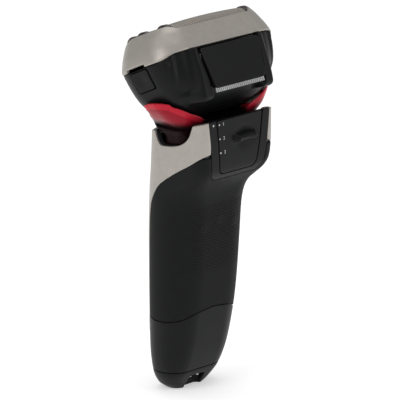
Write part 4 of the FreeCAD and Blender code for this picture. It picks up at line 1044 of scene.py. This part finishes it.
def make_foil(name, middle, reach):
    """A thin arched sheet that bows gently along its length."""
    outer = arch(FOIL_R, CREST - FOIL_R, FOIL_FOOT, middle, 28)
    inner = arch(FOIL_R - SHEET, CREST - FOIL_R, FOIL_FOOT, middle, 28)
    loop = outer + inner[::-1]
    count, half = len(loop), len(outer)
    stations = np.linspace(-reach, reach, 60)
    verts, uvs = [], []
    for x in stations:
        sag = FOIL_BOW - math.sqrt(FOIL_BOW ** 2 - x ** 2)
        for y, z, length in loop:
            verts.append((x, y, z - sag))
            uvs.append((x, length))
    faces = ring_faces(len(stations), count)
    for base in (0, (len(stations) - 1) * count):
        for c in range(half - 1):
            faces.append([base + c, base + c + 1, base + count - 2 - c, base + count - 1 - c])
    mesh = mesh_of(f"foil_{name}.look", verts, faces)
    layer = mesh.uv_layers.new(name="sheet")
    for corner in mesh.loops:
        layer.data[corner.index].uv = uvs[corner.vertex_index]
    piece = link(f"foil_{name}.look", mesh)
    finish_piece(piece, HEAD, f"foil_{name}_body", "foil_steel", bend_limit=50)
    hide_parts(f"foil_{name}")


def make_foil_caps(name, middle, reach):
    """The two moulded ends that hold the foil's edges."""
    near, far = reach + CAP_START, reach + CAP_END
    levels = [(near, 0.15), (near + 0.15, 0.0), (far - 1.0, 0.0)]
    levels += [(far - CAP_EASE + CAP_EASE * math.sin(a), CAP_EASE * (1 - math.cos(a)))
               for a in np.radians([15, 35, 55, 75, 88])]
    verts, faces = [], []
    for sign in (-1, 1):
        start = len(verts)
        for x, inset in levels:
            section = arch(FOIL_R - inset, CREST - FOIL_R - CAP_LOW, FOIL_FOOT - 0.6, middle, 24)
            verts += [(sign * x, y, z) for y, z, _ in section]
        count = (len(verts) - start) // len(levels)
        faces += ring_faces(len(levels), count, start)
        faces.append([start + c for c in range(count)])
        faces.append([start + (len(levels) - 1) * count + c for c in range(count)])
    caps = new_object(f"foil_caps_{name}.look", verts, faces, HEAD, f"foil_{name}_body", "cap_black",
                      "black_satin", 50)
    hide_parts(f"foil_caps_{name}")


def make_pivot_pins():
    """The pins that the head rocks on, ending inside the yoke's arms."""
    for side, sign in SIDES:
        profile = [(1.1, 24.4 * sign), (1.3, 24.6 * sign), (1.3, 28.2 * sign), (1.1, 28.4 * sign)]
        pin = lathe(f"head_pivot_pin_{side}.look", profile, (0, 12, 128), "x", "yoke", "steel", "", 40)
    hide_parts("head_pivot_pins")


def key_dish(points, plane):
    return -0.25 * smooth(1.0, 0.0, np.hypot((points[:, 1] + 1) / 4.2, (points[:, 2] - 6.6) / 3.4))


def make_release_keys():
    """Keys in the ends of the head that follow its slope."""
    corners = fillet([(-6.0, 2.4), (4.0, 2.4), (4.0, 10.8), (-6.0, 10.8)], [0.9] * 4, 6)
    for side, sign in SIDES:
        line = [(sign * float(HULL.at_side(y, z)) * HULL.unroll, z) for y, z in corners]
        key = panel(f"release_{side}.look", HULL, line, f"release_key_{side}", "black_satin", place=HEAD,
                    rise=0.3, depth=2.2, edge=0.35, step=0.7, rim=0.4, shape=key_dish)
        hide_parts(f"release_{side}")


PLATE_LOW, PLATE_HIGH, PLATE_BACK = -5.2, 12.2, 19.35


def make_trimmer_cover():
    """A shallow pan open below for the comb, its walls stopping short of the hinge so that it swings."""
    outline = fillet([(-17, PLATE_HIGH), (-14.4, PLATE_LOW), (14.4, PLATE_LOW), (17, PLATE_HIGH)],
                     [1.2, 2.2, 2.2, 1.2])
    hollow = [(-15.9, PLATE_HIGH - 1.1), (-12.9, PLATE_LOW - 3), (12.9, PLATE_LOW - 3),
              (15.9, PLATE_HIGH - 1.1)]
    hinge_room = [(-20, 8.0), (20, 8.0), (20, 14), (-20, 14)]
    pan = prism("trimmer_cover.look", outline, "y", 17.9, 20.4)
    carve(pan, prism("pan_hollow", hollow, "y", 17.0, PLATE_BACK),
          prism("hinge_room", hinge_room, "y", 17.0, PLATE_BACK))
    soften(pan, 0.26, 2)
    finish_piece(pan, HEAD, "trimmer", "black_satin", bend_limit=55)
    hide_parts("trimmer_cover")


# ---------------- studio

AZIMUTH, ELEVATION, DISTANCE = math.radians(135), math.radians(16.5), 1.8
TARGET = Vector((0, 0.005, 0.08))
LENS, SHIFT_RIGHT, SHIFT_UP = 388.8, 0.0025, 0.00167
RIGHT = Vector((math.cos(AZIMUTH), math.sin(AZIMUTH), 0))
BACK = Vector((math.sin(AZIMUTH) * math.cos(ELEVATION), -math.cos(AZIMUTH) * math.cos(ELEVATION),
               math.sin(ELEVATION)))
WHITE = (1, 1, 1, 1)
FLOOR_GLOW = 0.4


def make_floor():
    floor = link("floor", mesh_of("floor", [(-40, -40, 0), (40, -40, 0), (40, 40, 0), (-40, 40, 0)],
                                  [(0, 1, 2, 3)]))
    paper, tree, shader, spot = graph("paper")
    shader.inputs["Roughness"].default_value = 1.0
    shader.inputs["Specular IOR Level"].default_value = 0.0
    shader.inputs["Emission Color"].default_value = WHITE
    shader.inputs["Emission Strength"].default_value = FLOOR_GLOW
    shade = ramp(tree, cloud(tree, spot, 3.0), [(0.3, (0.9, 0.9, 0.9)), (0.7, (0.92, 0.92, 0.92))])
    tree.links.new(shade, shader.inputs["Base Color"])
    floor.data.materials.append(paper)


def make_world():
    """Plain white behind the object, and half as bright where it lights the object."""
    world = bpy.data.worlds.new("studio")
    bpy.context.scene.world = world
    world.use_nodes = True
    tree = world.node_tree
    tree.nodes.clear()
    surface = tree.nodes.new("ShaderNodeOutputWorld")
    backdrop, soft_light = (tree.nodes.new("ShaderNodeBackground") for _ in range(2))
    choose = tree.nodes.new("ShaderNodeMixShader")
    for light, strength in ((backdrop, 1.0), (soft_light, 0.5)):
        light.inputs["Color"].default_value = WHITE
        light.inputs["Strength"].default_value = strength
    ray = tree.nodes.new("ShaderNodeLightPath")
    tree.links.new(ray.outputs["Is Camera Ray"], choose.inputs["Fac"])
    tree.links.new(soft_light.outputs["Background"], choose.inputs[1])
    tree.links.new(backdrop.outputs["Background"], choose.inputs[2])
    tree.links.new(choose.outputs["Shader"], surface.inputs["Surface"])


def lamp(name, side, up, near, width, height, power):
    """A soft box placed as the camera sees it: side and up across the view, near towards the camera."""
    light = bpy.data.lights.new(name, "AREA")
    light.shape = "RECTANGLE"
    light.size, light.size_y = width, height
    light.energy = power
    holder = link(name, light)
    spot = RIGHT * side + Vector((0, 0, up)) + Vector((BACK.x, BACK.y, 0)).normalized() * near
    holder.location = TARGET + spot
    holder.rotation_mode = "QUATERNION"
    holder.rotation_quaternion = (-spot).to_track_quat("-Z", "Y")
    holder.visible_camera = False


def make_camera():
    lens = bpy.data.cameras.new("camera")
    lens.sensor_width = 36
    lens.lens = LENS
    lens.clip_start, lens.clip_end = 0.05, 100
    camera = link("camera", lens)
    camera.rotation_mode = "QUATERNION"
    above = BACK.cross(RIGHT)
    camera.location = TARGET + RIGHT * SHIFT_RIGHT + above * SHIFT_UP + BACK * DISTANCE
    camera.rotation_quaternion = (-BACK).to_track_quat("-Z", "Y")
    bpy.context.scene.camera = camera


# ---------------- the whole

make_side_panels()
make_grip()
make_bezel()
make_lower_cover()
make_fascia()
make_button()
make_foot()
make_surround()
make_slide()
make_switch_marks()
make_yoke()
make_hull()
make_frame()
for foil in FOILS:
    make_foil(*foil)
    make_foil_caps(*foil)
make_pivot_pins()
make_release_keys()
make_trimmer_cover()

make_floor()
make_world()
lamp("key", -0.75, 0.7, 0.75, 0.5, 0.8, 4.0)
lamp("fill", 0.95, 0.35, 0.35, 0.3, 0.9, 2.2)
lamp("top", 0.0, 1.1, -0.1, 0.8, 0.6, 3.0)
make_camera()
bpy.context.scene.view_settings.view_transform = "Standard"
